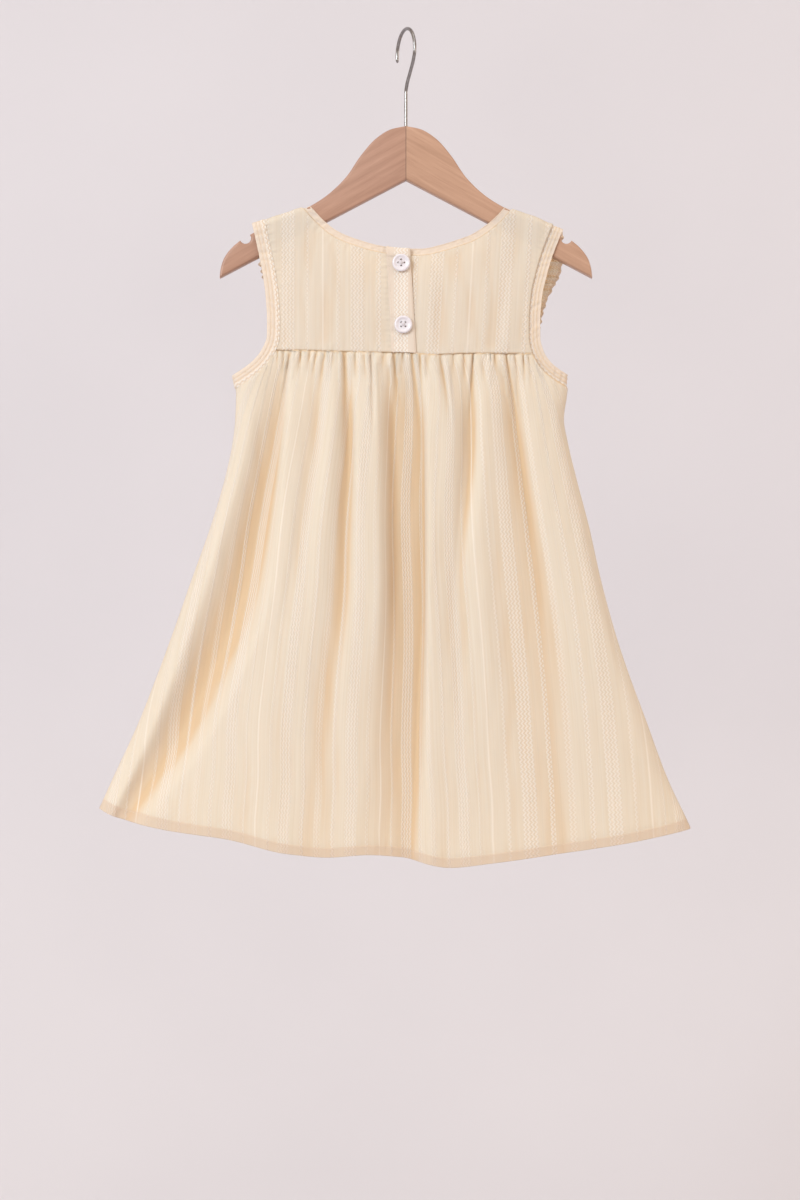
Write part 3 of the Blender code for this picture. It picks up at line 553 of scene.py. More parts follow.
def beside(flat, line):
    """Distance of each point of a grid from a line, and how far along the line it lies."""
    fine = along(line, np.linspace(0.0, 1.0, 260))
    run = np.linspace(0.0, line_length(line), 260)
    flat_list = flat.reshape(-1, 2)
    gap = np.linalg.norm(flat_list[:, None] - fine[None], axis=2)
    nearest = gap.argmin(axis=1)
    shape = flat.shape[:-1]
    return gap[np.arange(len(gap)), nearest].reshape(shape), run[nearest].reshape(shape)


def sheet_mesh(name, grid, cloth, facing, **masks):
    """A quad mesh of one layer of cloth, with its woven coordinates, in metres, as its UV map."""
    rows, columns = grid.shape[:2]
    index = np.arange(rows * columns).reshape(rows, columns)
    quads = np.stack((index[:-1, :-1], index[:-1, 1:], index[1:, 1:], index[1:, :-1]), axis=-1)
    quads = quads.reshape(-1, 4)
    if facing == FRONT:
        quads = quads[:, ::-1]
    mesh = bpy.data.meshes.new(name)
    mesh.from_pydata((grid.reshape(-1, 3) * MM).tolist(), [], quads.tolist())
    woven = mesh.uv_layers.new(name="woven")
    woven.data.foreach_set("uv", (cloth.reshape(-1, 2) * MM)[quads.ravel()].ravel())
    for key, values in masks.items():
        layer = mesh.attributes.new(key, "FLOAT", "POINT")
        layer.data.foreach_set("value", np.broadcast_to(values, (rows, columns)).ravel())
    mesh.shade_smooth()
    return mesh


def cloth_piece(mesh, wall, finish, slot, *nodes):
    """A cloth piece: its mesh is the inner face, and the wall stands outwards from it."""
    made = piece(mesh.name, mesh, finish, slot, *nodes)
    solid = made.modifiers.new("wall", "SOLIDIFY")
    solid.thickness = wall * MM
    solid.offset = 1.0
    solid.use_even_offset = False
    return made


def board_behind(flat):
    """How much of the hanger lies behind the cloth at each point, from 0 to 1."""
    x = np.abs(flat[..., 0])
    top = curve([row[0] for row in BOARD_TOP], [row[1] for row in BOARD_TOP], x)
    top = np.where(x > 128, BOARD_TOP[-1][1] - (x - 128) * 0.65, top)
    foot = BOARD_FOOT[1] + (BOARD_END[-1][1] - BOARD_FOOT[1]) * x / BOARD_END[-1][0]
    return ease((top - flat[..., 1] + 2) / 4) * ease((flat[..., 1] - foot + 2) / 4)


# The cotton's woven stripe repeats every 125 mm: a bright satin line, then narrow and wide
# bands of raised zigzag dobby and thin open lines, the same on each side of it.
STRIPE_REPEAT = 125.0
STRIPES = (
    # mm from the satin line: where it starts, is full, still is and ends, (zigzag, satin, open)
    (0.0, 0.0, 0.5, 1.0, (0.0, 1.0, 0.0)),
    (11.4, 12.0, 14.0, 14.6, (0.8, 0.0, 0.0)),
    (18.9, 19.3, 19.3, 19.8, (0.0, 0.0, 0.7)),
    (23.0, 24.0, 34.6, 35.6, (1.0, 0.0, 0.0)),
    (38.3, 38.8, 38.8, 39.3, (0.0, 0.0, 1.0)),
    (44.8, 45.4, 48.6, 49.2, (1.0, 0.0, 0.0)),
    (53.3, 53.8, 53.8, 54.3, (0.0, 0.0, 1.0)),
    (59.2, 60.0, 62.5, 62.5, (0.7, 0.0, 0.0)),
)
PLAIN = (0.0, 0.0, 0.0)


def stripe_stops():
    """The stripes as stops of a ramp, over half of the repeat."""
    stops = []
    for start, full, still, end, mask in STRIPES:
        stripe = [(start, PLAIN)] * (start < full) + [(full, mask)]
        stripe += [(still, mask)] * (full < still) + [(end, PLAIN)] * (still < end)
        stops += [(place / (STRIPE_REPEAT / 2), values) for place, values in stripe]
    return stops


def dobby_group():
    """Woven pattern shared by the cloth finishes: its height, and where it is zigzag, satin or open."""
    tree = bpy.data.node_groups.new("dobby_weave", "ShaderNodeTree")
    face = tree.interface
    face.new_socket("Woven", in_out="INPUT", socket_type="NodeSocketVector")
    for name in ("Height", "Zigzag", "Between", "Satin", "Open", "Streaks"):
        face.new_socket(name, in_out="OUTPUT", socket_type="NodeSocketFloat")
    woven = node(tree, "NodeGroupInput").outputs[0]
    end = node(tree, "NodeGroupOutput")
    parts = node(tree, "ShaderNodeSeparateXYZ", {0: woven}).outputs
    across = maths(tree, "MULTIPLY", parts[0], 1 / MM)
    down = maths(tree, "MULTIPLY", parts[1], 1 / MM)
    from_satin = maths(tree, "PINGPONG", across, STRIPE_REPEAT / 2)
    chart = ramp(tree, maths(tree, "DIVIDE", from_satin, STRIPE_REPEAT / 2), stripe_stops())
    zigzag, satin, opened = node(tree, "ShaderNodeSeparateColor", {0: chart}).outputs[:3]
    chevron = maths(tree, "PINGPONG", down, 2.0)
    crosswise = maths(tree, "MULTIPLY", across, 2.1)
    zigzags = maths(tree, "MULTIPLY", chevron, 2.0)
    slanted = maths(tree, "ADD", crosswise, zigzags)
    teeth = maths(tree, "MULTIPLY_ADD", maths(tree, "SINE", slanted), 0.5, 0.5)
    drawn_long = node(tree, "ShaderNodeCombineXYZ", {0: across, 1: maths(tree, "MULTIPLY", down, 0.012)})
    streaks = noise(tree, drawn_long.outputs[0], 0.42, 3.0, 0.7)
    on_cloth = node(tree, "ShaderNodeCombineXYZ", {0: across, 1: down}).outputs[0]
    threads = noise(tree, on_cloth, 1.7, 2.0, 0.6)
    raised_teeth = maths(tree, "MULTIPLY", teeth, zigzag)
    height = maths(tree, "MULTIPLY", raised_teeth, 1.4)
    for part, share in ((satin, 0.4), (opened, -0.2), (threads, 0.28), (streaks, 0.22)):
        height = maths(tree, "MULTIPLY_ADD", part, share, height)
    for name, socket in (
        ("Height", height),
        ("Zigzag", raised_teeth),
        ("Between", maths(tree, "SUBTRACT", zigzag, raised_teeth)),
        ("Satin", satin),
        ("Open", opened),
        ("Streaks", streaks),
    ):
        tree.links.new(socket, end.inputs[name])
    return tree


COTTON_TINTS = (
    # part of the weave or mask of the piece, strength, tint
    # hollow: painted shade, warm like light bounced between cloth, in folds, creases, grooves and along
    # seams
    ("hollow", 0.95, (0.85, 0.685, 0.455)),
    ("Zigzag", 0.85, (1.0, 0.99, 0.96)),
    ("Between", 0.12, (0.80, 0.62, 0.42)),
    ("Satin", 0.7, (1.0, 0.98, 0.93)),
    ("Open", 0.07, (0.45, 0.38, 0.28)),
    # painted shade: the light the cloth loses to the hanger board or another layer close behind it
    ("backed", 0.17, (0.62, 0.50, 0.43)),
    ("doubled", 0.45, (0.77, 0.62, 0.48)),
)


def cotton_finish(name, colour, deep_colour, through, weave_depth):
    """Soft cotton: light passes through it, its weave shows in its colour and its relief, and painted
    shade darkens and warms it where the piece's masks mark hollows or something close behind.
    """
    made, tree, shader = new_finish(name)
    woven = node(tree, "ShaderNodeUVMap", uv_map="woven").outputs[0]
    weave = node(tree, "ShaderNodeGroup", node_tree=dobby_weave)
    tree.links.new(woven, weave.inputs[0])
    streak = node(tree, "ShaderNodeMapRange", {0: weave.outputs["Streaks"], 1: 0.3, 2: 0.7}).outputs[0]
    base = mixed(tree, streak, deep_colour, colour)
    for mask, share, tint in COTTON_TINTS:
        if mask in weave.outputs:
            where = weave.outputs[mask]
        else:
            where = node(tree, "ShaderNodeAttribute", attribute_name=mask).outputs["Fac"]
        base = mixed(tree, maths(tree, "MULTIPLY", where, share), base, tint)
    relief = relief_of(tree, weave.outputs["Height"], weave_depth * MM)
    finished(
        tree, shader, base, between(tree, weave.outputs["Satin"], 0.88, 0.5), relief,
        Sheen_Weight=0.25, Sheen_Roughness=0.5, Specular_IOR_Level=0.25,
    )
    warm = mixed(tree, 1.0, base, (1.0, 0.85, 0.62), "MULTIPLY")
    glow = node(tree, "ShaderNodeBsdfTranslucent", {"Color": warm, "Normal": relief})
    both = node(tree, "ShaderNodeMixShader", {0: through, 1: shader.outputs[0], 2: glow.outputs[0]})
    tree.links.new(both.outputs[0], tree.nodes["Material Output"].inputs["Surface"])
    return made


dobby_weave = dobby_group()
thin_cotton = cotton_finish("dobby_cotton", (0.915, 0.885, 0.805), (0.88, 0.825, 0.705), 0.4, 0.2)
doubled_cotton = cotton_finish("doubled_cotton", (0.87, 0.785, 0.69), (0.85, 0.75, 0.645), 0.3, 0.16)


PLACKET = (
    # z, x of its sewn edge, x of its free edge
    (-273.5, -12.0, 8.7),
    (-182.0, -16.8, 3.2),
)
UNDERLAP = 1.3
UNDERLAP_BLEND = 16.0


def sewn_edge(z):
    return read(PLACKET, z, 1)


def free_edge(z):
    return read(PLACKET, z, 2)


def underlap(flat):
    """How far the right half of the back lies in, to pass under the placket."""
    return -UNDERLAP * ease((free_edge(flat[..., 1]) + UNDERLAP_BLEND - flat[..., 0]) / UNDERLAP_BLEND)


def straight(start, end):
    return np.asarray(start) + (np.asarray(end) - start) * np.linspace(0.0, 1.0, 40)[:, None]


def drawn_up(seed, flat, borders, reach=5.0, height=0.22, pitch=5.5):
    """Puckers beside sewn borders, and a share that fades other bumps out towards them."""
    total = 0.0
    calm = 1.0
    for i, line in enumerate(borders):
        gap, run = beside(flat, line)
        near = np.exp(-(np.maximum(gap - 1.5, 0.0) / reach) ** 2) * ease(gap / 1.6)
        total = total + near * height * wander(seed + i, run, pitch)
        calm = calm * ease(gap / 9.0)
    return total, calm


def woven_left(flat):
    return np.stack((flat[..., 0] + 69.7, flat[..., 1]), axis=-1)


def woven_right(flat):
    """The right half is cut a little off the straight of the cloth."""
    return np.stack((flat[..., 0] - 56.3 - 0.0576 * (flat[..., 1] + 182.0), flat[..., 1]), axis=-1)


def woven_front(flat):
    return np.stack((flat[..., 0] - 18.0, flat[..., 1]), axis=-1)


def yoke(name, facing, left, neck, right, cloth, seed, *nodes, lapped=False):
    """A yoke panel between its side borders, the neck, the shoulders and the yoke seam."""
    parts = [neck]
    if np.linalg.norm(left[0] - neck[0]) > 8:
        parts.insert(0, straight(left[0], neck[0])[:-1])
    if np.linalg.norm(right[0] - neck[-1]) > 8:
        parts.append(straight(neck[-1], right[0])[1:])
    head = np.concatenate(parts)
    lengths = np.array([line_length(part) for part in parts])
    ends = np.concatenate(([0.0], np.cumsum(lengths))) / lengths.sum()
    counts = [max(6, int((b - a) * lengths.sum() / 1.25)) for a, b in zip(ends, ends[1:])]
    columns = [np.linspace(a, b, count)[:-1] for a, b, count in zip(ends, ends[1:], counts)]
    columns = np.concatenate((*columns, [1.0]))
    rows = 1 - (1 - np.linspace(0.0, 1.0, 110)) ** 1.6
    foot = seam_line(left[-1, 0], right[-1, 0], SEAM_GAP)
    flat = patch(foot, head, left[::-1], right[::-1], columns, rows)
    pucker, calm = drawn_up(seed, flat, (left, right, neck, foot))
    bumps = 0.42 * rumple(seed, flat, 30.0, 80.0) + 0.12 * rumple(seed + 1, flat, 10.0, 60.0)
    lift = 0.3 + pucker + bumps * calm
    above = flat[..., 1] - read(YOKE_SEAM, flat[..., 0])
    lift = lift * (0.5 + 0.5 * ease(above / 0.9))
    for line in (left, right, neck):
        lift = lift * ease((beside(flat, line)[0] + 0.4) / 1.8)
    lap = underlap(flat) if lapped else 0.0
    grid = raised(laid(flat, facing, lap), facing, lift)
    # Painted shade: along the yoke seam, in the low parts of the bumps, and where the front yoke and the
    # hanger board lie behind.
    hollow = ease(1 - above / 1.3) + np.clip(-0.6 * bumps * calm, 0.0, 0.3)
    backed = 0.7 + 0.3 * board_behind(flat)
    mesh = sheet_mesh(name, grid, cloth(flat), facing, backed=backed, hollow=hollow)
    return cloth_piece(mesh, THIN_CLOTH, thin_cotton, "dobby_cotton", *nodes)


inner_lines = {
    (side, facing): above_seam(armhole_line(side, facing, ARMHOLE_BAND - TUCK), SEAM_GAP)
    for side in ARMHOLES
    for facing in (BACK, FRONT)
}
front_panel = yoke(
    "front_yoke_panel", FRONT, inner_lines["left", FRONT], neck_line(FRONT, NECK_BAND - TUCK),
    inner_lines["right", FRONT], woven_front, 11, "front_yoke",
)

seam_z = float(read(YOKE_SEAM, 0.0)) + SEAM_GAP
panel_head = neck_line(BACK, NECK_BAND - TUCK)
neck = cut_line(panel_head, sewn_edge(panel_head[:, 1]) + TUCK - panel_head[:, 0])
inner_end = (float(sewn_edge(seam_z)) + TUCK, seam_z)
left_panel = yoke(
    "back_yoke_left_panel", BACK, inner_lines["left", BACK], neck, straight(neck[-1], inner_end),
    woven_left, 23, "back_yoke_left",
)

neck = from_start(panel_head, panel_head[:, 0] - sewn_edge(panel_head[:, 1]) - 1.0)
inner_end = (float(sewn_edge(seam_z)) + 1.0, seam_z)
right_panel = yoke(
    "back_yoke_right_panel", BACK, straight(neck[0], inner_end), neck, inner_lines["right", BACK],
    woven_right, 37, "back_yoke_right", lapped=True,
)


# ---- Placket ----
# A doubled strip, 21 mm wide, is sewn to the left half of the back and folded at its free edge.
# It laps over the right half, and it is closed by two buttons through upright buttonholes.
PLACKET_LIFT = 0.25
PLACKET_WALL = 0.7
BUTTONS = (
    # name, x, z, turn of the holes in degrees
    ("upper", -4.0, -196.4, 0.0),
    ("lower", -2.2, -248.4, 45.0),
)
BUTTONHOLE = 17.6
STITCH_PITCH = 2.7
STITCH_LENGTH = 2.2
THREAD_RISE = 0.03


def outer_face(grid, facing, wall):
    """The places on a sheet's outer face, and its square there."""
    face = raised(grid, facing, wall)
    square = face - grid
    return face, square / np.linalg.norm(square, axis=-1)[..., None]


def outer_line(grid, facing, wall, shares, row):
    """A line on a sheet's outer face, at a row that may lie between two rows, with its square."""
    face, square = outer_face(grid, facing, wall)
    lower = min(int(row), len(grid) - 2)
    f = row - lower
    line = face[lower] * (1 - f) + face[lower + 1] * f
    lean = square[lower] * (1 - f) + square[lower + 1] * f
    return along(line, shares), along(lean, shares)


def upright_line(grid, facing, wall, place, low, high):
    """An upright line on a sheet's outer face, from low to high, with the sheet's square there."""
    line, lean = [], []
    for points, squares in zip(*outer_face(grid, facing, wall)):
        z = points[:, 2].mean()
        if low <= z <= high:
            for found, values in ((line, points), (lean, squares)):
                found.append([np.interp(place(z), points[:, 0], axis) for axis in values.T])
    return np.array(line), np.array(lean)


def stitch_tree():
    """Lays a stitch at each pitch along lines that carry the cloth's square as an attribute."""
    tree = bpy.data.node_groups.new("run_of_stitches", "GeometryNodeTree")
    face = tree.interface
    for kind, names in (
        ("Geometry", ("Lines",)),
        ("Float", ("Pitch", "Length", "Thickness", "Turn")),
        ("Int", ("Seed",)),
        ("Material", ("Thread",)),
    ):
        for name in names:
            face.new_socket(name, in_out="INPUT", socket_type="NodeSocket" + kind)
    face.new_socket("Stitches", in_out="OUTPUT", socket_type="NodeSocketGeometry")

    def step(kind, values=(), output=0, **settings):
        return node(tree, kind, values, **settings).outputs[output]

    given = node(tree, "NodeGroupInput").outputs
    line = step("GeometryNodeMeshToCurve", {"Mesh": given["Lines"]})
    spots = step("GeometryNodeResampleCurve", {"Curve": line, "Length": given["Pitch"]}, mode="LENGTH")
    drop = step("GeometryNodeMeshUVSphere", {"Segments": 8, "Rings": 5, "Radius": 0.5})
    lengths = {0: given["Length"], 1: given["Thickness"], 2: given["Thickness"]}
    size = step("ShaderNodeCombineXYZ", lengths)
    stitch = step("GeometryNodeTransform", {"Geometry": drop, "Scale": size})
    tangent = step("GeometryNodeInputTangent")
    ahead = step("FunctionNodeAlignRotationToVector", {"Vector": tangent}, axis="X")
    kept = {"Name": "square"}
    square = step("GeometryNodeInputNamedAttribute", kept, "Attribute", data_type="FLOAT_VECTOR")
    upright = {"Rotation": ahead, "Vector": square}
    flat = step("FunctionNodeAlignRotationToVector", upright, axis="Z", pivot_axis="X")
    lean = {2: -0.09, 3: 0.09, "Seed": given["Seed"]}
    uneven = step("FunctionNodeRandomValue", lean, 1, data_type="FLOAT")
    angle = step("ShaderNodeMath", {0: given["Turn"], 1: uneven}, operation="ADD")
    own_turn = step("ShaderNodeCombineXYZ", {"Z": angle})
    spin = {"Rotation": flat, "Rotate By": own_turn}
    turned = step("FunctionNodeRotateRotation", spin, rotation_space="LOCAL")
    placed = {"Points": spots, "Instance": stitch, "Rotation": turned}
    real = step("GeometryNodeRealizeInstances", {0: step("GeometryNodeInstanceOnPoints", placed)})
    smooth = step("GeometryNodeSetShadeSmooth", {0: real})
    done = step("GeometryNodeSetMaterial", {"Geometry": smooth, "Material": given["Thread"]})
    tree.links.new(done, node(tree, "NodeGroupOutput").inputs[0])
    return tree


def sew(name, lines, pitch, length, thickness=0.42, turn=0.0):
    """Stitches along lines on the cloth: each line is its points and the cloth's square there."""
    mesh = bpy.data.meshes.new(name + "_lines")
    points = np.concatenate([line[0] for line in lines]) * MM
    squares = np.concatenate([line[1] for line in lines])
    edges = []
    first = 0
    for line, _ in lines:
        edges += [(first + i, first + i + 1) for i in range(len(line) - 1)]
        first += len(line)
    mesh.from_pydata(points.tolist(), edges, [])
    layer = mesh.attributes.new("square", "FLOAT_VECTOR", "POINT")
    layer.data.foreach_set("vector", squares.ravel())
    maker = bpy.data.objects.new(name + "_maker", mesh)
    bpy.context.scene.collection.objects.link(maker)
    row = maker.modifiers.new("row", "NODES")
    row.node_group = stitching
    wanted = {
        "Pitch": pitch * MM,
        "Length": length * MM,
        "Thickness": thickness * MM,
        "Turn": math.radians(turn),
        "Seed": 7,
        "Thread": thread,
    }
    for item in stitching.interface.items_tree:
        if item.in_out == "INPUT" and item.name in wanted:
            row[item.identifier] = wanted[item.name]
    graph = bpy.context.evaluated_depsgraph_get()
    sewn = bpy.data.meshes.new_from_object(maker.evaluated_get(graph))
    bpy.data.objects.remove(maker)
    sewn.name = name
    return piece(name, sewn, thread, "doubled_cotton")


def thread_finish(name, dark, light):
    """Matt cotton thread, its twist a fine slanting rib."""
    made, tree, shader = new_finish(name)
    place = node(tree, "ShaderNodeTexCoord").outputs["Object"]
    ribs = {"Vector": place, "Scale": 900.0, "Distortion": 2.0, "Detail": 1.0}
    twist = node(tree, "ShaderNodeTexWave", ribs).outputs["Fac"]
    tone = ramp(tree, twist, ((0.0, dark), (1.0, light)))
    finished(tree, shader, tone, 0.8, relief_of(tree, twist, 0.0001, 0.6), Sheen_Weight=0.2)
    return made


stitching = stitch_tree()
thread = thread_finish("cotton_thread", (0.72, 0.57, 0.43), (0.90, 0.76, 0.62))


def placket_height(flat):
    """The strip is drawn in at its sewn edge, and swells softly beside its free edge."""
    across = (flat[..., 0] - sewn_edge(flat[..., 1])) / 20.5
    length = flat[..., 1]
    swell = 0.45 * np.exp(-((across - 0.78) / 0.13) ** 2) - 0.35 * np.exp(-((across - 0.5) / 0.12) ** 2)
    waves = 0.14 * wander(5, length, 13.0) * np.exp(-((across - 0.15) / 0.2) ** 2)
    pulled = 0.0
    for _, _, z, _ in BUTTONS:
        pulled = pulled + np.exp(-((length - z) / 12.0) ** 2)
    return swell * (1 - 0.7 * pulled) + waves + 0.10 * wander(6, length, 6.0) * ease(1 - across * 5)


edge = neck_line(BACK, 0)
head = cut_line(edge, free_edge(edge[:, 1]) - edge[:, 0])
head = from_start(head, head[:, 0] - sewn_edge(head[:, 1]))
foot = seam_line(float(sewn_edge(seam_z)), float(free_edge(seam_z)), 0.2)
flat = patch(
    foot, head, straight(foot[0], head[0]), straight(foot[-1], head[-1]),
    closer_at_ends(34), np.linspace(0.0, 1.0, 110),
)
side_gap = np.minimum(flat[..., 0] - sewn_edge(flat[..., 1]), free_edge(flat[..., 1]) - flat[..., 0])
curled = ease((free_edge(flat[..., 1]) - flat[..., 0]) / 1.8) - 1
over_band = ease((flat[..., 1] - read(BACK_NECK, flat[..., 0]) + NECK_BAND + 1.5) / 2.0)
lift = PLACKET_LIFT + placket_height(flat) * ease(side_gap / 2.0) + 0.7 * curled + 0.9 * over_band
grid = raised(laid(flat, BACK), BACK, lift)
placket_mesh = sheet_mesh("back_placket_strip", grid, woven_left(flat) + (30.0, 0.0), BACK)
placket = cloth_piece(placket_mesh, PLACKET_WALL, doubled_cotton, "doubled_cotton", "back_placket")
seam_row = upright_line(
    grid, BACK, PLACKET_WALL + THREAD_RISE, lambda z: float(sewn_edge(z)) + 1.7, -272.0, -182.0
)
sew("back_placket_stitches", [seam_row], STITCH_PITCH, STITCH_LENGTH)
# The buttonholes are cut upright and worked over closely with thread across their edges.
for name, x, z, _ in BUTTONS:
    low, high = z - BUTTONHOLE / 2, z + BUTTONHOLE / 2
    edges = [
        upright_line(grid, BACK, PLACKET_WALL + 0.05, lambda _: x + aside, low, high)
        for aside in (-0.7, 0.7)
    ]
    sew("buttonhole_" + name, edges, 0.55, 1.35, turn=90.0)


# ---- Neck and armhole bands ----
# Strips of the same cotton, folded double over the raw edge and stitched flat in rows, which
# draws them up into small uneven puckers. The neck's are 7 mm wide and the armholes' 10.5 mm.
BAND_LIFT = 0.48
BAND_WALL = 0.62
BAND_STEPS = 25
NECK_ROWS = (5.4,)
ARMHOLE_ROWS = (3.3, 6.2, 9.1)


def band(name, facing, outer, inner, width, rows_of_stitches, seed, node_name, lapped=False):
    """A doubled strip that binds an edge, with a groove along each row of stitches."""
    length = line_length(outer)
    shares = closer_at_ends(int(length / 0.9))
    across = np.linspace(0.0, 1.0, BAND_STEPS + 1)
    share = across[:, None, None]
    flat = (1 - share) * along(outer, shares)[None] + share * along(inner, shares)[None]
    run = shares * length
    inside = across * width
    grooves = sum(np.exp(-((inside - row) / 0.55) ** 2) for row in rows_of_stitches)
    rounding = ease(inside / 1.1) * ease((width - inside) / 0.9)
    puckers = 0.17 * wander(seed, run, 4.6) + 0.13 * wander(seed + 1, run, 11.0)
    shear = 0.10 * np.array([wander(seed + 2, run + 1.7 * row, 6.0) for row in inside])
    height = (puckers[None] + shear) * rounding[:, None] + (0.40 * rounding - 0.42 * grooves)[:, None]
    grid = laid(flat, facing, underlap(flat) if lapped else 0.0)
    seat = 0.14 * (1 - ease((width - inside) / 0.9))
    up = raised(grid, facing, BAND_LIFT + height - seat[:, None])
    cloth = np.stack(np.broadcast_arrays(inside[:, None] + 16.0, run[None]), axis=-1)
    # Painted shade along the stitched grooves, at the band's edges and in its low puckers, and over the
    # hanger board behind.
    hollow_shade = (0.6 * grooves + 0.2 * (1 - rounding))[:, None] - 0.5 * (puckers[None] + shear)
    hollow_shade = np.clip(hollow_shade, 0.0, 1.0)
    mesh = sheet_mesh(name, up, cloth, facing, backed=board_behind(flat) * 0.5, hollow=hollow_shade)
    made = cloth_piece(mesh, BAND_WALL, doubled_cotton, "doubled_cotton", node_name)
    places = np.linspace(0.004, 0.996, int(length / 1.2))
    lines = [
        outer_line(up, facing, BAND_WALL + THREAD_RISE, places, row / width * BAND_STEPS)
        for row in rows_of_stitches
    ]
    sew(name + "_stitches", lines, STITCH_PITCH, STITCH_LENGTH)


for side in ARMHOLES:
    for facing, word in ((BACK, "back"), (FRONT, "front")):
        edge, inner = armhole_line(side, facing, 0), armhole_line(side, facing, ARMHOLE_BAND)
        band(
            word + "_armhole_binding_" + side, facing, edge, inner, ARMHOLE_BAND, ARMHOLE_ROWS, 61,
            word + "_armhole_band_" + side,
        )
band(
    "front_neck_binding", FRONT, neck_line(FRONT, 0), neck_line(FRONT, NECK_BAND), NECK_BAND,
    NECK_ROWS, 71, "front_neck_band",
)
edge, inner = neck_line(BACK, 0), neck_line(BACK, NECK_BAND)
halves = [cut_line(line, sewn_edge(line[:, 1]) + 0.3 - line[:, 0]) for line in (edge, inner)]
band("back_neck_binding_left", BACK, *halves, NECK_BAND, NECK_ROWS, 81, "back_neck_band_left")
halves = [from_start(line, line[:, 0] - sewn_edge(line[:, 1]) - 1.0) for line in (edge, inner)]
band(
    "back_neck_binding_right", BACK, *halves, NECK_BAND, NECK_ROWS, 91, "back_neck_band_right",
    lapped=True,
)


# ---- Frills ----
# A gathered strip with a narrow hem is caught in the seam between each front armhole band and
# the front yoke. It stands out past the armhole, and is widest a third of the way down.
FRILLS = {
    # side: (greatest width, forward lean in degrees, way out along x, seed)
    "left": (27.0, 55.0, -1.0, 131),
    "right": (28.5, 24.0, 1.0, 141),
}
FRILL_TAPER = (
    # share of the way from the shoulder to the yoke seam, share of the greatest width
    (0.0, 0.5), (0.15, 0.74), (0.35, 1.0), (0.6, 0.76), (0.8, 0.6), (0.93, 0.5), (1.0, 0.3),
)
FRILL_WAVES = 17
FRILL_LENGTH = 210.0
FRILL_HEM = 3.0
FRILL_COLUMNS = 420
FRILL_ROWS = 30


def frill(side):
    """A gathered strip, its inner edge caught in the seam and its hem standing free."""
    width, lean, out_x, seed = FRILLS[side]
    shares = np.linspace(0.04, 0.965, FRILL_COLUMNS)
    way = (shares - shares[0]) / (shares[-1] - shares[0])
    tilt = math.radians(lean)
    out = np.array((out_x * math.cos(tilt), math.sin(tilt), 0.0))
    square = np.array((-out_x * math.sin(tilt), math.cos(tilt), 0.0))
    reach = width * read(FRILL_TAPER, way)
    phase = 2 * math.pi * FRILL_WAVES * way
    wave = np.sin(phase + 0.9 * wander(seed, way, 0.16)) * (1 + 0.3 * wander(seed + 1, way, 0.2))
    fine = wander(seed + 2, way, 0.021)
    caught = []
    for behind, lift in ((0.5, 0.75), (0.35, 1.5), (0.0, 2.4)):
        line = above_seam(armhole_line(side, FRONT, ARMHOLE_BAND + behind), 0.0)
        caught.append(laid(along(line, shares), FRONT) + (0.0, lift, 0.0))
    *rows, base = caught
    across = np.concatenate(([0.0], np.linspace(0.03, 1.0, FRILL_ROWS)))
    for share in across:
        gathered = 0.5 + 1.9 * share ** 0.8
        size = gathered * wave + 0.35 * fine * share * (1 - 0.5 * share)
        curl = 1.6 * share ** 3 * np.cos(phase * 0.5 + 1.1)
        stands = (size * 0.55 + curl * 0.3)[:, None]
        rows.append(base + out * (share * reach)[:, None] + square * stands)
    grid = np.array(rows)
    inside = np.concatenate(([-1.0, -0.5], across))[:, None] * reach[None]
    cloth = np.stack(np.broadcast_arrays(inside + 5.0, (way * FRILL_LENGTH)[None]), axis=-1)
    hem = (reach[None] - inside < FRILL_HEM) * 1.0
    # Painted shade in the frill's gathers, strongest halfway along it and fading out towards its hem
    # edge.
    gathers = np.clip(0.25 + 0.5 * wave + 0.3 * fine, 0.0, 1.0) * np.sqrt(way * (1 - way)) * 2
    hollow_shade = np.broadcast_to(gathers[None], inside.shape) * ease((reach[None] - inside) / 6.0)
    mesh = sheet_mesh("frill_" + side, grid, cloth, FRONT, doubled=hem, hollow=hollow_shade)
    made = cloth_piece(mesh, THIN_CLOTH, thin_cotton, "dobby_cotton", "ruffle_" + side)


for side in FRILLS:
    frill(side)


# ---- Skirts ----
# The back and the front are each one width of cotton, drawn up by two rows of gathering threads
# and sewn under the yoke and the armhole bands. They are joined at the sides, and the hem is
# turned up 8 mm and stitched. Folds run from the gathers to the hem.
HEM_EDGE = 8.6
HEM_EXTRA = 0.42
HEM_STITCHES = 5.7
HEM_ROWS = (0.0, 0.5, 1.5, 3.0, 4.5, 6.0, 7.2, 7.8, 8.3, 9.2)
HEM_ROOM = 10.5
SKIRT_ROWS = 152
SKIRT_COLUMNS = 282
SKIRT_GAP = 0.6
HEM = (
    # x, z
    (-262.0, -652.0), (-240.0, -661.5), (-199.0, -671.0), (-149.0, -678.0), (-99.0, -690.0),
    (-66.0, -693.0), (-33.0, -691.0), (-5.0, -693.0), (36.0, -701.3), (70.0, -698.0),
    (136.0, -689.0), (186.0, -681.4), (242.0, -670.5),
)
FOLD_LEVELS = (-690, -580, -460, -340, -275)
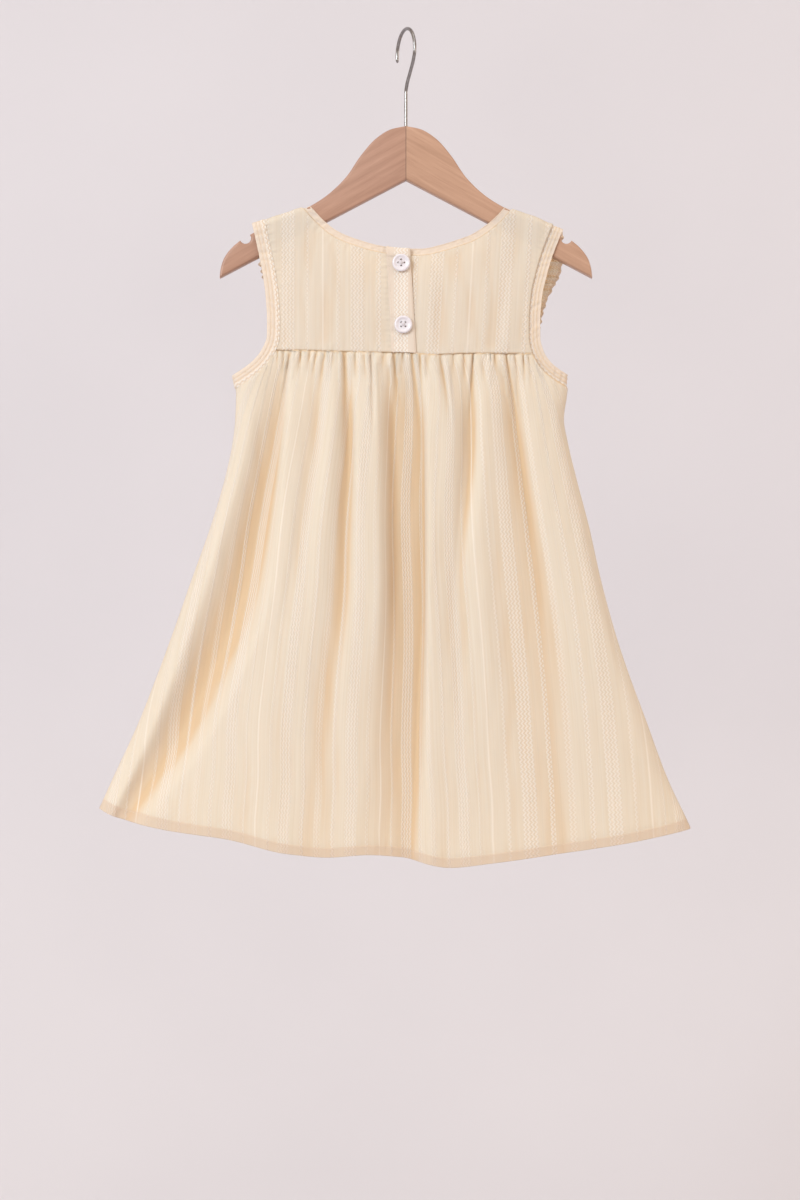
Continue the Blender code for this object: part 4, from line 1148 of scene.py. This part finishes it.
BACK_FOLDS = (
    # x at each level, outward height at each level
    ((-263.0, -211.0, -167.0, -133.6, -124.3), (1.0, 3.0, 3.5, 2.5, 0.5)),
    ((-252.0, -183.0, -133.0, -108.0, -100.0), (-1.5, -10.0, -12.0, -8.0, -0.5)),
    ((-234.0, -154.0, -109.0, -98.0, -93.0), (1.0, 2.0, 3.0, 3.0, 0.5)),
    ((-150.0, -121.0, -93.0, -76.0, -72.0), (2.0, 2.5, 0.8, -2.0, 0.0)),
    ((-101.6, -89.0, -75.0, -62.5, -60.0), (2.0, 1.5, 3.5, 3.8, 0.5)),
    ((-79.0, -68.9, -53.0, -47.5, -50.5), (-1.5, -2.0, -3.4, -5.5, -0.5)),
    ((-50.0, -48.0, -39.5, -39.0, -40.0), (0.5, 1.0, 3.0, 3.8, 0.5)),
    ((-32.0, -31.0, -25.0, -25.5, -28.0), (-1.5, -1.0, 2.6, 3.4, 0.2)),
    ((-12.0, -10.0, -7.5, -9.5, -10.1), (-4.5, -8.5, -10.5, -9.0, -1.2)),
    ((3.0, 9.0, 13.5, 12.0, 5.0), (-6.5, -11.0, -12.5, -9.0, -0.5)),
    ((22.2, 21.0, 20.5, 20.5, 19.3), (2.5, 3.5, 4.5, 4.5, 0.5)),
    ((47.0, 43.7, 38.0, 35.0, 29.4), (2.0, 1.2, 0.8, 3.2, -0.3)),
    ((57.0, 50.0, 45.0, 55.0, 55.5), (2.0, 2.0, 0.5, -5.5, -0.8)),
    ((68.9, 64.0, 60.0, 64.5, 63.0), (2.0, 2.5, 3.6, 4.0, 0.5)),
    ((95.8, 89.4, 80.3, 76.0, 73.9), (-0.5, -0.5, -0.5, 0.5, -0.3)),
    ((131.0, 118.0, 108.0, 93.2, 85.7), (-1.0, -2.5, -5.0, -6.5, -1.0)),
    ((166.0, 150.0, 127.0, 104.0, 97.4), (1.5, 1.5, 1.5, 3.0, 0.5)),
    ((215.0, 186.0, 153.0, 126.0, 118.0), (2.0, 3.0, 4.0, 3.5, 0.8)),
)
FRONT_FOLDS = (
    # x at each level, outward height at each level
    ((-250.0, -204.0, -164.0, -132.0, -126.0), (2.5, 4.0, 4.0, 2.5, 0.5)),
    ((-216.0, -178.0, -140.0, -112.0, -104.0), (-5.0, -8.0, -8.0, -5.0, -0.5)),
    ((-186.0, -152.0, -118.0, -98.0, -92.0), (3.0, 3.5, 4.0, 3.0, 0.5)),
    ((-140.0, -112.0, -88.0, -78.0, -74.0), (-3.0, -5.0, -7.0, -5.0, -0.5)),
    ((-100.0, -84.0, -70.0, -62.0, -60.0), (4.0, 5.0, 5.5, 4.0, 0.5)),
    ((-60.0, -54.0, -46.0, -42.0, -42.0), (-8.0, -10.0, -9.0, -6.0, -0.5)),
    ((-32.0, -30.0, -28.0, -27.0, -28.0), (4.0, 4.5, 4.5, 4.0, 0.5)),
    ((-4.0, -6.0, -8.0, -8.0, -8.0), (-2.0, -3.0, -4.0, -4.0, -0.5)),
    ((20.0, 16.0, 12.0, 9.0, 8.0), (5.0, 5.5, 5.0, 4.0, 0.5)),
    ((50.0, 42.0, 36.0, 31.0, 30.0), (-8.0, -11.0, -10.0, -7.0, -0.5)),
    ((76.0, 62.0, 52.0, 45.0, 44.0), (3.0, 3.5, 4.0, 3.0, 0.5)),
    ((114.0, 94.0, 76.0, 65.0, 62.0), (-5.0, -6.0, -6.0, -4.0, -0.5)),
    ((142.0, 116.0, 94.0, 80.0, 76.0), (3.0, 4.5, 4.5, 3.5, 0.5)),
    ((178.0, 144.0, 116.0, 98.0, 96.0), (-4.0, -6.0, -6.0, -5.0, -0.5)),
    ((210.0, 174.0, 141.0, 117.0, 116.0), (2.0, 3.0, 3.5, 2.5, 0.5)),
)
SMALL = (2.1, 30.0)
DEEP = (2.6, 78.0)
BACK_GATHERS = (
    # x at the seam, (depth, reach below the seam)
    (-102.9, SMALL), (-97.9, DEEP), (-88.2, SMALL), (-80.8, SMALL), (-75.6, SMALL),
    (-68.0, SMALL), (-62.2, SMALL), (-51.2, DEEP), (-42.3, SMALL), (-35.3, SMALL),
    (-29.7, DEEP), (-18.9, SMALL), (-10.1, DEEP), (-3.2, SMALL), (5.0, DEEP),
    (11.4, SMALL), (17.5, SMALL), (29.0, DEEP), (39.3, SMALL), (49.6, SMALL),
    (56.3, DEEP), (64.7, SMALL), (73.9, SMALL), (84.7, DEEP), (91.5, SMALL), (98.5, SMALL),
)
FRONT_GATHERS = (
    # x at the seam, (depth, reach below the seam)
    (-101.0, SMALL), (-93.5, SMALL), (-84.0, DEEP), (-74.5, SMALL), (-67.0, SMALL),
    (-58.5, SMALL), (-50.0, DEEP), (-42.0, SMALL), (-34.5, SMALL), (-25.0, SMALL),
    (-17.5, DEEP), (-8.5, SMALL), (-1.0, SMALL), (8.0, SMALL), (15.0, SMALL),
    (23.5, DEEP), (31.5, SMALL), (40.0, SMALL), (48.0, SMALL), (57.5, DEEP),
    (65.0, SMALL), (73.5, SMALL), (82.0, SMALL), (91.0, DEEP), (98.0, SMALL),
)
BACK_WOVEN = (
    # mm along the hem from its left end, mm across the woven stripes
    (0.0, -172.0), (150.4, 0.0), (259.7, 125.0), (362.7, 250.0), (505.4, 375.0), (545.6, 420.0),
)
FRONT_WOVEN = ((0.0, -290.0), (545.0, 260.0))
DRAWN_IN = (
    # z, width of cloth drawn in, compared with the hem
    (-702, 1.0), (-580, 1.05), (-460, 1.17), (-340, 1.4), (-275, 1.6), (-240, 1.65),
)


def fold_shape(folds, u, z):
    """The x and outward height of the cloth that starts at u under the yoke seam."""
    left, right = read(SIDE_EDGES, z, 1), read(SIDE_EDGES, z, 2)
    x_lines = np.array([left, *(curve(FOLD_LEVELS, row[0], z) for row in folds), right])
    level = np.zeros_like(left)
    height_lines = np.array([level, *(curve(FOLD_LEVELS, row[1], z) for row in folds), level])
    starts = [SIDE_EDGES[-1][1], *(row[0][-1] for row in folds), SIDE_EDGES[-1][2]]
    return curve(starts, x_lines, u), curve(starts, height_lines, u)


def gather_height(gathers, seed, u, below):
    """Uneven rounded ridges between the table's hollows, small at the seam and fuller below it."""
    draw = random.Random(seed)
    lines = []
    for x, (depth, reach) in gathers:
        lean = draw.uniform(-0.10, 0.10) * np.minimum(below, 55.0)
        lines.append((x + lean, depth * draw.uniform(0.85, 1.3), reach * draw.uniform(0.6, 1.4)))
    opening = 0.3 + 0.7 * ease(below / 4.0)
    height = np.zeros_like(u)
    for i, (x, depth, reach) in enumerate(lines):
        before = lines[i - 1][0] if i > 0 else x - 8.0
        after = lines[i + 1][0] if i + 1 < len(lines) else x + 8.0
        room = np.maximum(np.where(u < x, x - before, after - x) / 2, 2.0)
        near = np.clip(np.abs(u - x) / room, 0.0, 1.0)
        sharp = 1.8 - 0.9 * ease(below / reach)
        hollow = depth * (0.5 - (0.5 + 0.5 * np.cos(np.pi * near)) ** sharp)
        height += np.where(near < 1, hollow, 0.0) * opening * ease(1 - below / reach)
    return height + 0.7 * np.exp(-((below - 9.0) / 7.0) ** 2)


def crumples(seed, u, below):
    """Small unevenness by the seam, and long soft ridges and hollows that run down from it."""
    draw = random.Random(seed)
    sway = u + 1.2 * np.sin(below / 17.0 + 0.11 * u)
    height = 0.75 * wander(seed + 1, u, 4.2) * ease(1 - below / 14) * ease(below / 1.2)
    height = height + 0.2 * wander(seed + 2, sway, 8.5) * ease(1 - below / 55) * ease(below / 8)
    for _ in range(26):
        centre = draw.uniform(-112, 112)
        drift = draw.uniform(-0.05, 0.05)
        width = draw.uniform(2.2, 4.5)
        start = draw.choice((0, 0, 0, 8, 40, 90, 160, 240))
        length = draw.uniform(40, 110)
        size = draw.choice((1, -1)) * draw.uniform(0.08, 0.22)
        body = ease((below - start) / (0.25 * length)) * ease((start + length - below) / (0.5 * length))
        height = height + size * np.exp(-((u - centre - drift * below) / width) ** 2) * body
    return height


def hollowed(heights, reach, depth):
    """How far the cloth lies in a hollow at each place of a row, from 0 to 1."""
    spread = np.hanning(2 * reach + 1)
    spread /= spread.sum()
    around = [np.convolve(np.pad(row, reach, mode="edge"), spread, mode="valid") for row in heights]
    return np.clip((np.array(around) - heights) / depth, 0.0, 1.0)


def skirt(name, facing, folds, gathers, woven, seed, node_name):
    """A gathered width from the yoke seam and the armhole bands down to its hem."""
    left_top, right_top = [
        below_seam(armhole_line(side, facing, ARMHOLE_BAND - TUCK), -SKIRT_GAP) for side in ARMHOLES
    ]
    middle_top = seam_line(left_top[0, 0], right_top[0, 0], SKIRT_GAP)
    top = np.concatenate((left_top[::-1], middle_top[1:-1], right_top))
    low, high = SIDE_EDGES[-1][1], SIDE_EDGES[-1][2]
    u = low + (high - low) * closer_at_ends(SKIRT_COLUMNS, 0.55)
    for corner in (left_top[0, 0], right_top[0, 0]):
        u[np.abs(u - corner).argmin()] = corner
    top_z = np.interp(u, top[:, 0], top[:, 1])
    hem_z = read(HEM, u)
    for _ in range(12):
        top_z = np.interp(fold_shape(folds, u, top_z)[0], top[:, 0], top[:, 1])
        hem_z = read(HEM, fold_shape(folds, u, hem_z)[0])
    fall = top_z - hem_z
    hem_rows = [hem_z + rise for rise in HEM_ROWS]
    shares = np.linspace(0.0, 1.0, SKIRT_ROWS) ** 1.45
    body_rows = [top_z - (fall - HEM_ROOM) * share for share in shares[::-1]]
    heights = np.array(hem_rows + body_rows)
    grid = []
    folds_only = []
    for z in heights:
        x, height = fold_shape(folds, u, z)
        below = np.maximum(read(YOKE_SEAM, u) - z, 0.0)
        at_side = ease((u - low) / 7) * ease((high - u) / 7)
        height += gather_height(gathers, seed + 6, u, below) + crumples(seed, u, below) * at_side
        flat = np.stack((x, z), axis=1)
        height += 0.40 * rumple(seed + 3, flat, 45.0, 160.0) * at_side * ease(below / 60)
        height += 0.12 * rumple(seed + 4, flat, 14.0, 90.0) * at_side * ease(below / 40)
        above_hem = z - hem_z
        height += 0.16 * wander(seed + 5, x, 7.0) * np.exp(-((above_hem - 8.0) / 7.0) ** 2) * at_side
        height -= 0.35 * np.exp(-((above_hem - HEM_EDGE) / 0.7) ** 2)
        grid.append(laid(flat, facing, height))
        folds_only.append(height)
    grid = np.array(grid)
    tucked = ease((top_z[None] - heights) / 1.7)
    in_hem = ease((HEM_EDGE - (heights - hem_z[None])) / 0.8)
    outer = raised(grid, facing, -0.5 + 0.8 * tucked - HEM_EXTRA * in_hem)
    # The cloth's threads hang nearly straight, and stand closer together towards the gathers.
    steps = np.linalg.norm(np.diff(grid, axis=1), axis=2)
    runs = np.concatenate((np.zeros((len(heights), 1)), np.cumsum(steps, axis=1)), axis=1)
    width = grid[:, -1:, 0] - grid[:, :1, 0]
    spread = (grid[:, :1, 0] + runs / runs[:, -1:] * width) * read(DRAWN_IN, heights)
    at_hem = [grid[0, 0, 0] + row[0] / woven[-1][0] * width[0, 0] for row in woven]
    cloth = np.stack((np.interp(spread, at_hem, [row[1] for row in woven]), heights), axis=-1)
    folds_only = np.array(folds_only)
    # Painted shade: darker and warmer the deeper a fold lies, in broad and narrow hollows, and just
    # under the yoke seam.
    hollow = 0.55 * np.clip((1.0 - folds_only) / 10.0, 0.0, 1.0)
    hollow += 0.4 * hollowed(folds_only, 22, 5.5) + 1.0 * hollowed(folds_only, 5, 1.2)
    hollow += ease(1 - (top_z[None] - heights) / 2.4)
    mesh = sheet_mesh(name, outer, cloth, facing, doubled=in_hem, hollow=np.clip(hollow, 0.0, 1.0))
    made = cloth_piece(mesh, THIN_CLOTH + HEM_EXTRA, thin_cotton, "dobby_cotton", node_name)
    group = made.vertex_groups.new(name="hem")
    wall = THIN_CLOTH + HEM_EXTRA
    weights = THIN_CLOTH / wall + HEM_EXTRA / wall * in_hem
    for level in np.unique(np.round(weights, 3)):
        chosen = np.flatnonzero(np.abs(weights.ravel() - level) < 0.0006)
        group.add(chosen.tolist(), float(level), "REPLACE")
    made.modifiers["wall"].vertex_group = "hem"
    return made, outer


for word, facing, folds, gathers, woven, seed, yoke_name in (
    ("back", BACK, BACK_FOLDS, BACK_GATHERS, BACK_WOVEN, 211, "back_yoke_left_panel"),
    ("front", FRONT, FRONT_FOLDS, FRONT_GATHERS, FRONT_WOVEN, 311, "front_yoke_panel"),
):
    made, outer = skirt(word + "_skirt_width", facing, folds, gathers, woven, seed, word + "_skirt")
    places = np.linspace(0.002, 0.998, 900)
    hem_row = outer_line(outer, facing, THIN_CLOTH + HEM_EXTRA + THREAD_RISE, places, HEM_STITCHES)
    sew(word + "_hem_stitches", [hem_row], 2.8, STITCH_LENGTH)


# ---- Buttons ----
# Two turned shell buttons, 15 mm across, with a raised rim and four holes. Each is sewn on
# through its holes with crossed thread, above the upright buttonhole it has come through.
BUTTON_PROFILE = (
    # radius, height
    (0.0, 1.5), (2.6, 1.5), (4.0, 1.55), (4.6, 1.7), (5.1, 2.05), (5.6, 2.42), (6.0, 2.58),
    (6.4, 2.6), (6.8, 2.45), (7.15, 2.15), (7.4, 1.75), (7.52, 1.35), (7.5, 0.95), (7.3, 0.55),
    (6.9, 0.2), (6.3, 0.02), (0.0, 0.0),
)
BUTTON_STEPS = 72
BUTTON_SIZE = 15.0
BUTTON_SEAT = 1.6
HOLE = 0.82
HOLE_SPREAD = 2.45
HOLE_DEPTH = 8.0
STRAND = 0.17
STRAND_GAP = 0.30
STRAND_SPREAD = 0.84
STRAND_BACK = -1.4
STRAND_FACE = 1.2
STRAND_TOP = 1.9
PEARL_COLOURS = (
    # place in the clouds, colour
    (0.3, (0.66, 0.61, 0.64)), (0.5, (0.72, 0.67, 0.70)), (0.7, (0.69, 0.69, 0.73)),
)


def shell_finish():
    """White shell: a soft pearl sheen in cloudy layers under a polished face."""
    made, tree, shader = new_finish("button_shell")
    place = node(tree, "ShaderNodeTexCoord").outputs["Object"]
    clouds = noise(tree, place, 260.0, 4.0, distortion=1.2)
    tone = ramp(tree, clouds, PEARL_COLOURS)
    finished(
        tree, shader, tone, between(tree, clouds, 0.22, 0.38), Coat_Weight=0.4, Coat_Roughness=0.15,
        Subsurface_Weight=0.1, Subsurface_Radius=(0.001, 0.001, 0.001),
    )
    return made


def button_place(x, z):
    """Where a button lies on the placket, tilted as the cloth there is."""
    rim = BUTTON_SIZE / 2
    low, middle, high = half_depth(np.full(3, x), np.array((z - rim, z, z + rim)))
    seat = JOIN + max(middle, (low + high) / 2) + BUTTON_SEAT
    tilt = math.atan2(low - high, BUTTON_SIZE)
    return Matrix.Translation(Vector((x, -seat, z)) * MM) @ Matrix.Rotation(math.pi / 2 - tilt, 4, "X")


def sewn_button(name, x, z, turn):
    """A button turned from its profile and drilled with four holes, and its crossed thread."""
    place = button_place(x, z)
    shape = bmesh.new()
    rings = []
    for radius, height in BUTTON_PROFILE:
        turns = [2 * math.pi * i / BUTTON_STEPS for i in range(BUTTON_STEPS if radius else 1)]
        circle = [(radius * math.cos(a) * MM, radius * math.sin(a) * MM, height * MM) for a in turns]
        rings.append([shape.verts.new(point) for point in circle])
    for upper, lower in zip(rings, rings[1:]):
        for i in range(BUTTON_STEPS):
            around = ((upper, i), (lower, i), (lower, i + 1), (upper, i + 1))
            corners = [ring[place_in % len(ring)] for ring, place_in in around]
            shape.faces.new(list(dict.fromkeys(corners)))
    bmesh.ops.recalc_face_normals(shape, faces=shape.faces)
    mesh = bpy.data.meshes.new("button_" + name)
    shape.to_mesh(mesh)
    shape.free()
    drill = bmesh.new()
    spots = []
    for quarter in range(4):
        angle = math.radians(turn + 90 * quarter)
        spot = Vector((math.cos(angle), math.sin(angle), 0.0)) * HOLE_SPREAD * MM
        spots.append(spot)
        size = {"radius1": HOLE * MM, "radius2": HOLE * MM, "depth": HOLE_DEPTH * MM}
        placed = Matrix.Translation(spot)
        bmesh.ops.create_cone(drill, cap_ends=True, segments=28, matrix=placed, **size)
    holes = bpy.data.meshes.new("button_holes")
    drill.to_mesh(holes)
    drill.free()
    maker = bpy.data.objects.new("button_maker", mesh)
    cutter = bpy.data.objects.new("button_cutter", holes)
    for item in (maker, cutter):
        bpy.context.scene.collection.objects.link(item)
    cut = maker.modifiers.new("holes", "BOOLEAN")
    cut.object = cutter
    cut.solver = "EXACT"
    graph = bpy.context.evaluated_depsgraph_get()
    drilled = bpy.data.meshes.new_from_object(maker.evaluated_get(graph))
    for item in (maker, cutter):
        bpy.data.objects.remove(item)
    drilled.name = "sewn_button_" + name
    drilled.transform(place)
    drilled.shade_smooth()
    drilled.set_sharp_from_angle(angle=math.radians(35))
    piece("sewn_button_" + name, drilled, shell, "button_shell", "button_" + name)

    strands = bpy.data.curves.new("button_thread_" + name, "CURVE")
    strands.dimensions = "3D"
    strands.bevel_depth = STRAND * MM
    strands.bevel_resolution = 3
    strands.use_fill_caps = True
    for first, second in ((0, 2), (1, 3)):
        for side in (-1, 0, 1):
            a, b = spots[first], spots[second]
            beside_it = (b - a).normalized().cross(Vector((0, 0, 1))) * side * STRAND_GAP * MM
            rise = STRAND_TOP + 0.45 * first + (0.2 if side == 0 else 0.0)
            line = strands.splines.new("BEZIER")
            line.bezier_points.add(4)
            start, middle, end = a * STRAND_SPREAD, (a + b) / 2, b * STRAND_SPREAD
            spots_along = (start, start, middle, end, end)
            heights = (STRAND_BACK, STRAND_FACE, rise, STRAND_FACE, STRAND_BACK)
            for point, spot, height in zip(line.bezier_points, spots_along, heights):
                point.co = spot + Vector((0, 0, height)) * MM + beside_it
                point.handle_left_type = point.handle_right_type = "AUTO"
    twist = mesh_of(strands, place)
    twist.shade_smooth()
    piece("button_thread_" + name, twist, white_thread, "doubled_cotton")


shell = shell_finish()
white_thread = thread_finish("white_thread", (0.66, 0.61, 0.63), (0.80, 0.75, 0.77))
for button_row in BUTTONS:
    sewn_button(*button_row)


# ---- Floor and backdrop ----
# A pale plaster wall behind, with a floor below that meets it in a soft curve.
FLOOR_Z = -1.3
WALL_Y = 1.5
COVE = 0.8


def plaster():
    """Pale plaster with a faint cloudiness, clear where it is seen from behind."""
    made, tree, shader = new_finish("pale_plaster")
    place = node(tree, "ShaderNodeTexCoord").outputs["Object"]
    cloudy = noise(tree, place, 2.2, 2.0)
    tone = ramp(tree, cloudy, ((0.3, (0.655, 0.635, 0.675)), (0.7, (0.685, 0.665, 0.705))))
    finished(tree, shader, tone, 0.9)
    through = node(tree, "ShaderNodeBsdfTransparent")
    behind = node(tree, "ShaderNodeNewGeometry").outputs["Backfacing"]
    both = node(tree, "ShaderNodeMixShader", {0: behind, 1: shader.outputs[0], 2: through.outputs[0]})
    tree.links.new(both.outputs[0], tree.nodes["Material Output"].inputs["Surface"])
    return made


cove = [(-6.0, FLOOR_Z)]
cove += [
    (WALL_Y - COVE + COVE * math.sin(a), FLOOR_Z + COVE - COVE * math.cos(a))
    for a in np.linspace(0.0, math.pi / 2, 24)
]
cove.append((WALL_Y, 6.0))
verts = [(x, y, z) for y, z in cove for x in (-8.0, 8.0)]
faces = [(2 * i, 2 * i + 1, 2 * i + 3, 2 * i + 2) for i in range(len(cove) - 1)]
wall_mesh = bpy.data.meshes.new("floor_and_wall")
wall_mesh.from_pydata(verts, [], faces)
wall_mesh.shade_smooth()
wall_mesh.materials.append(plaster())
wall = bpy.data.objects.new("floor_and_wall", wall_mesh)
bpy.context.scene.collection.objects.link(wall)
wall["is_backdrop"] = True


# ---- Light and camera ----
# Soft daylight from a window on the left and from above, a little light thrown back from the
# right, a pale room all round, and a long lens.
world = bpy.data.worlds.new("pale_room")
world.use_nodes = True
world.node_tree.nodes["Background"].inputs["Color"].default_value = (1.0, 0.85, 0.72, 1.0)
world.node_tree.nodes["Background"].inputs["Strength"].default_value = 0.785
bpy.context.scene.world = world
for name, spot, aim, size, power, colour in (
    ("window", (-1.8, -2.0, 0.75), (0.0, 0.0, -0.42), 1.2, 59.0, (0.84, 0.94, 1.0)),
    ("sky", (0.3, -1.4, 2.4), (0.0, 0.0, -0.5), 2.4, 19.0, (0.90, 0.96, 1.0)),
    ("bounce", (2.2, -0.5, 0.1), (0.1, 0.0, -0.25), 1.2, 12.0, (1.0, 0.95, 0.88)),
):
    light = bpy.data.lights.new(name, "AREA")
    light.size = size
    light.energy = power
    light.color = colour
    lamp = bpy.data.objects.new(name, light)
    lamp.location = spot
    lamp.rotation_euler = (Vector(aim) - Vector(spot)).to_track_quat("-Z", "Y").to_euler()
    bpy.context.scene.collection.objects.link(lamp)

lens = bpy.data.cameras.new("camera")
lens.lens = 82.0
lens.clip_start = 0.05
camera = bpy.data.objects.new("camera", lens)
camera.location = (-0.005, -2.3, -0.479)
camera.rotation_euler = (math.radians(90), 0.0, 0.0)
bpy.context.scene.collection.objects.link(camera)
bpy.context.scene.camera = camera
bpy.context.scene.view_settings.view_transform = "Standard"

low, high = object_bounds()
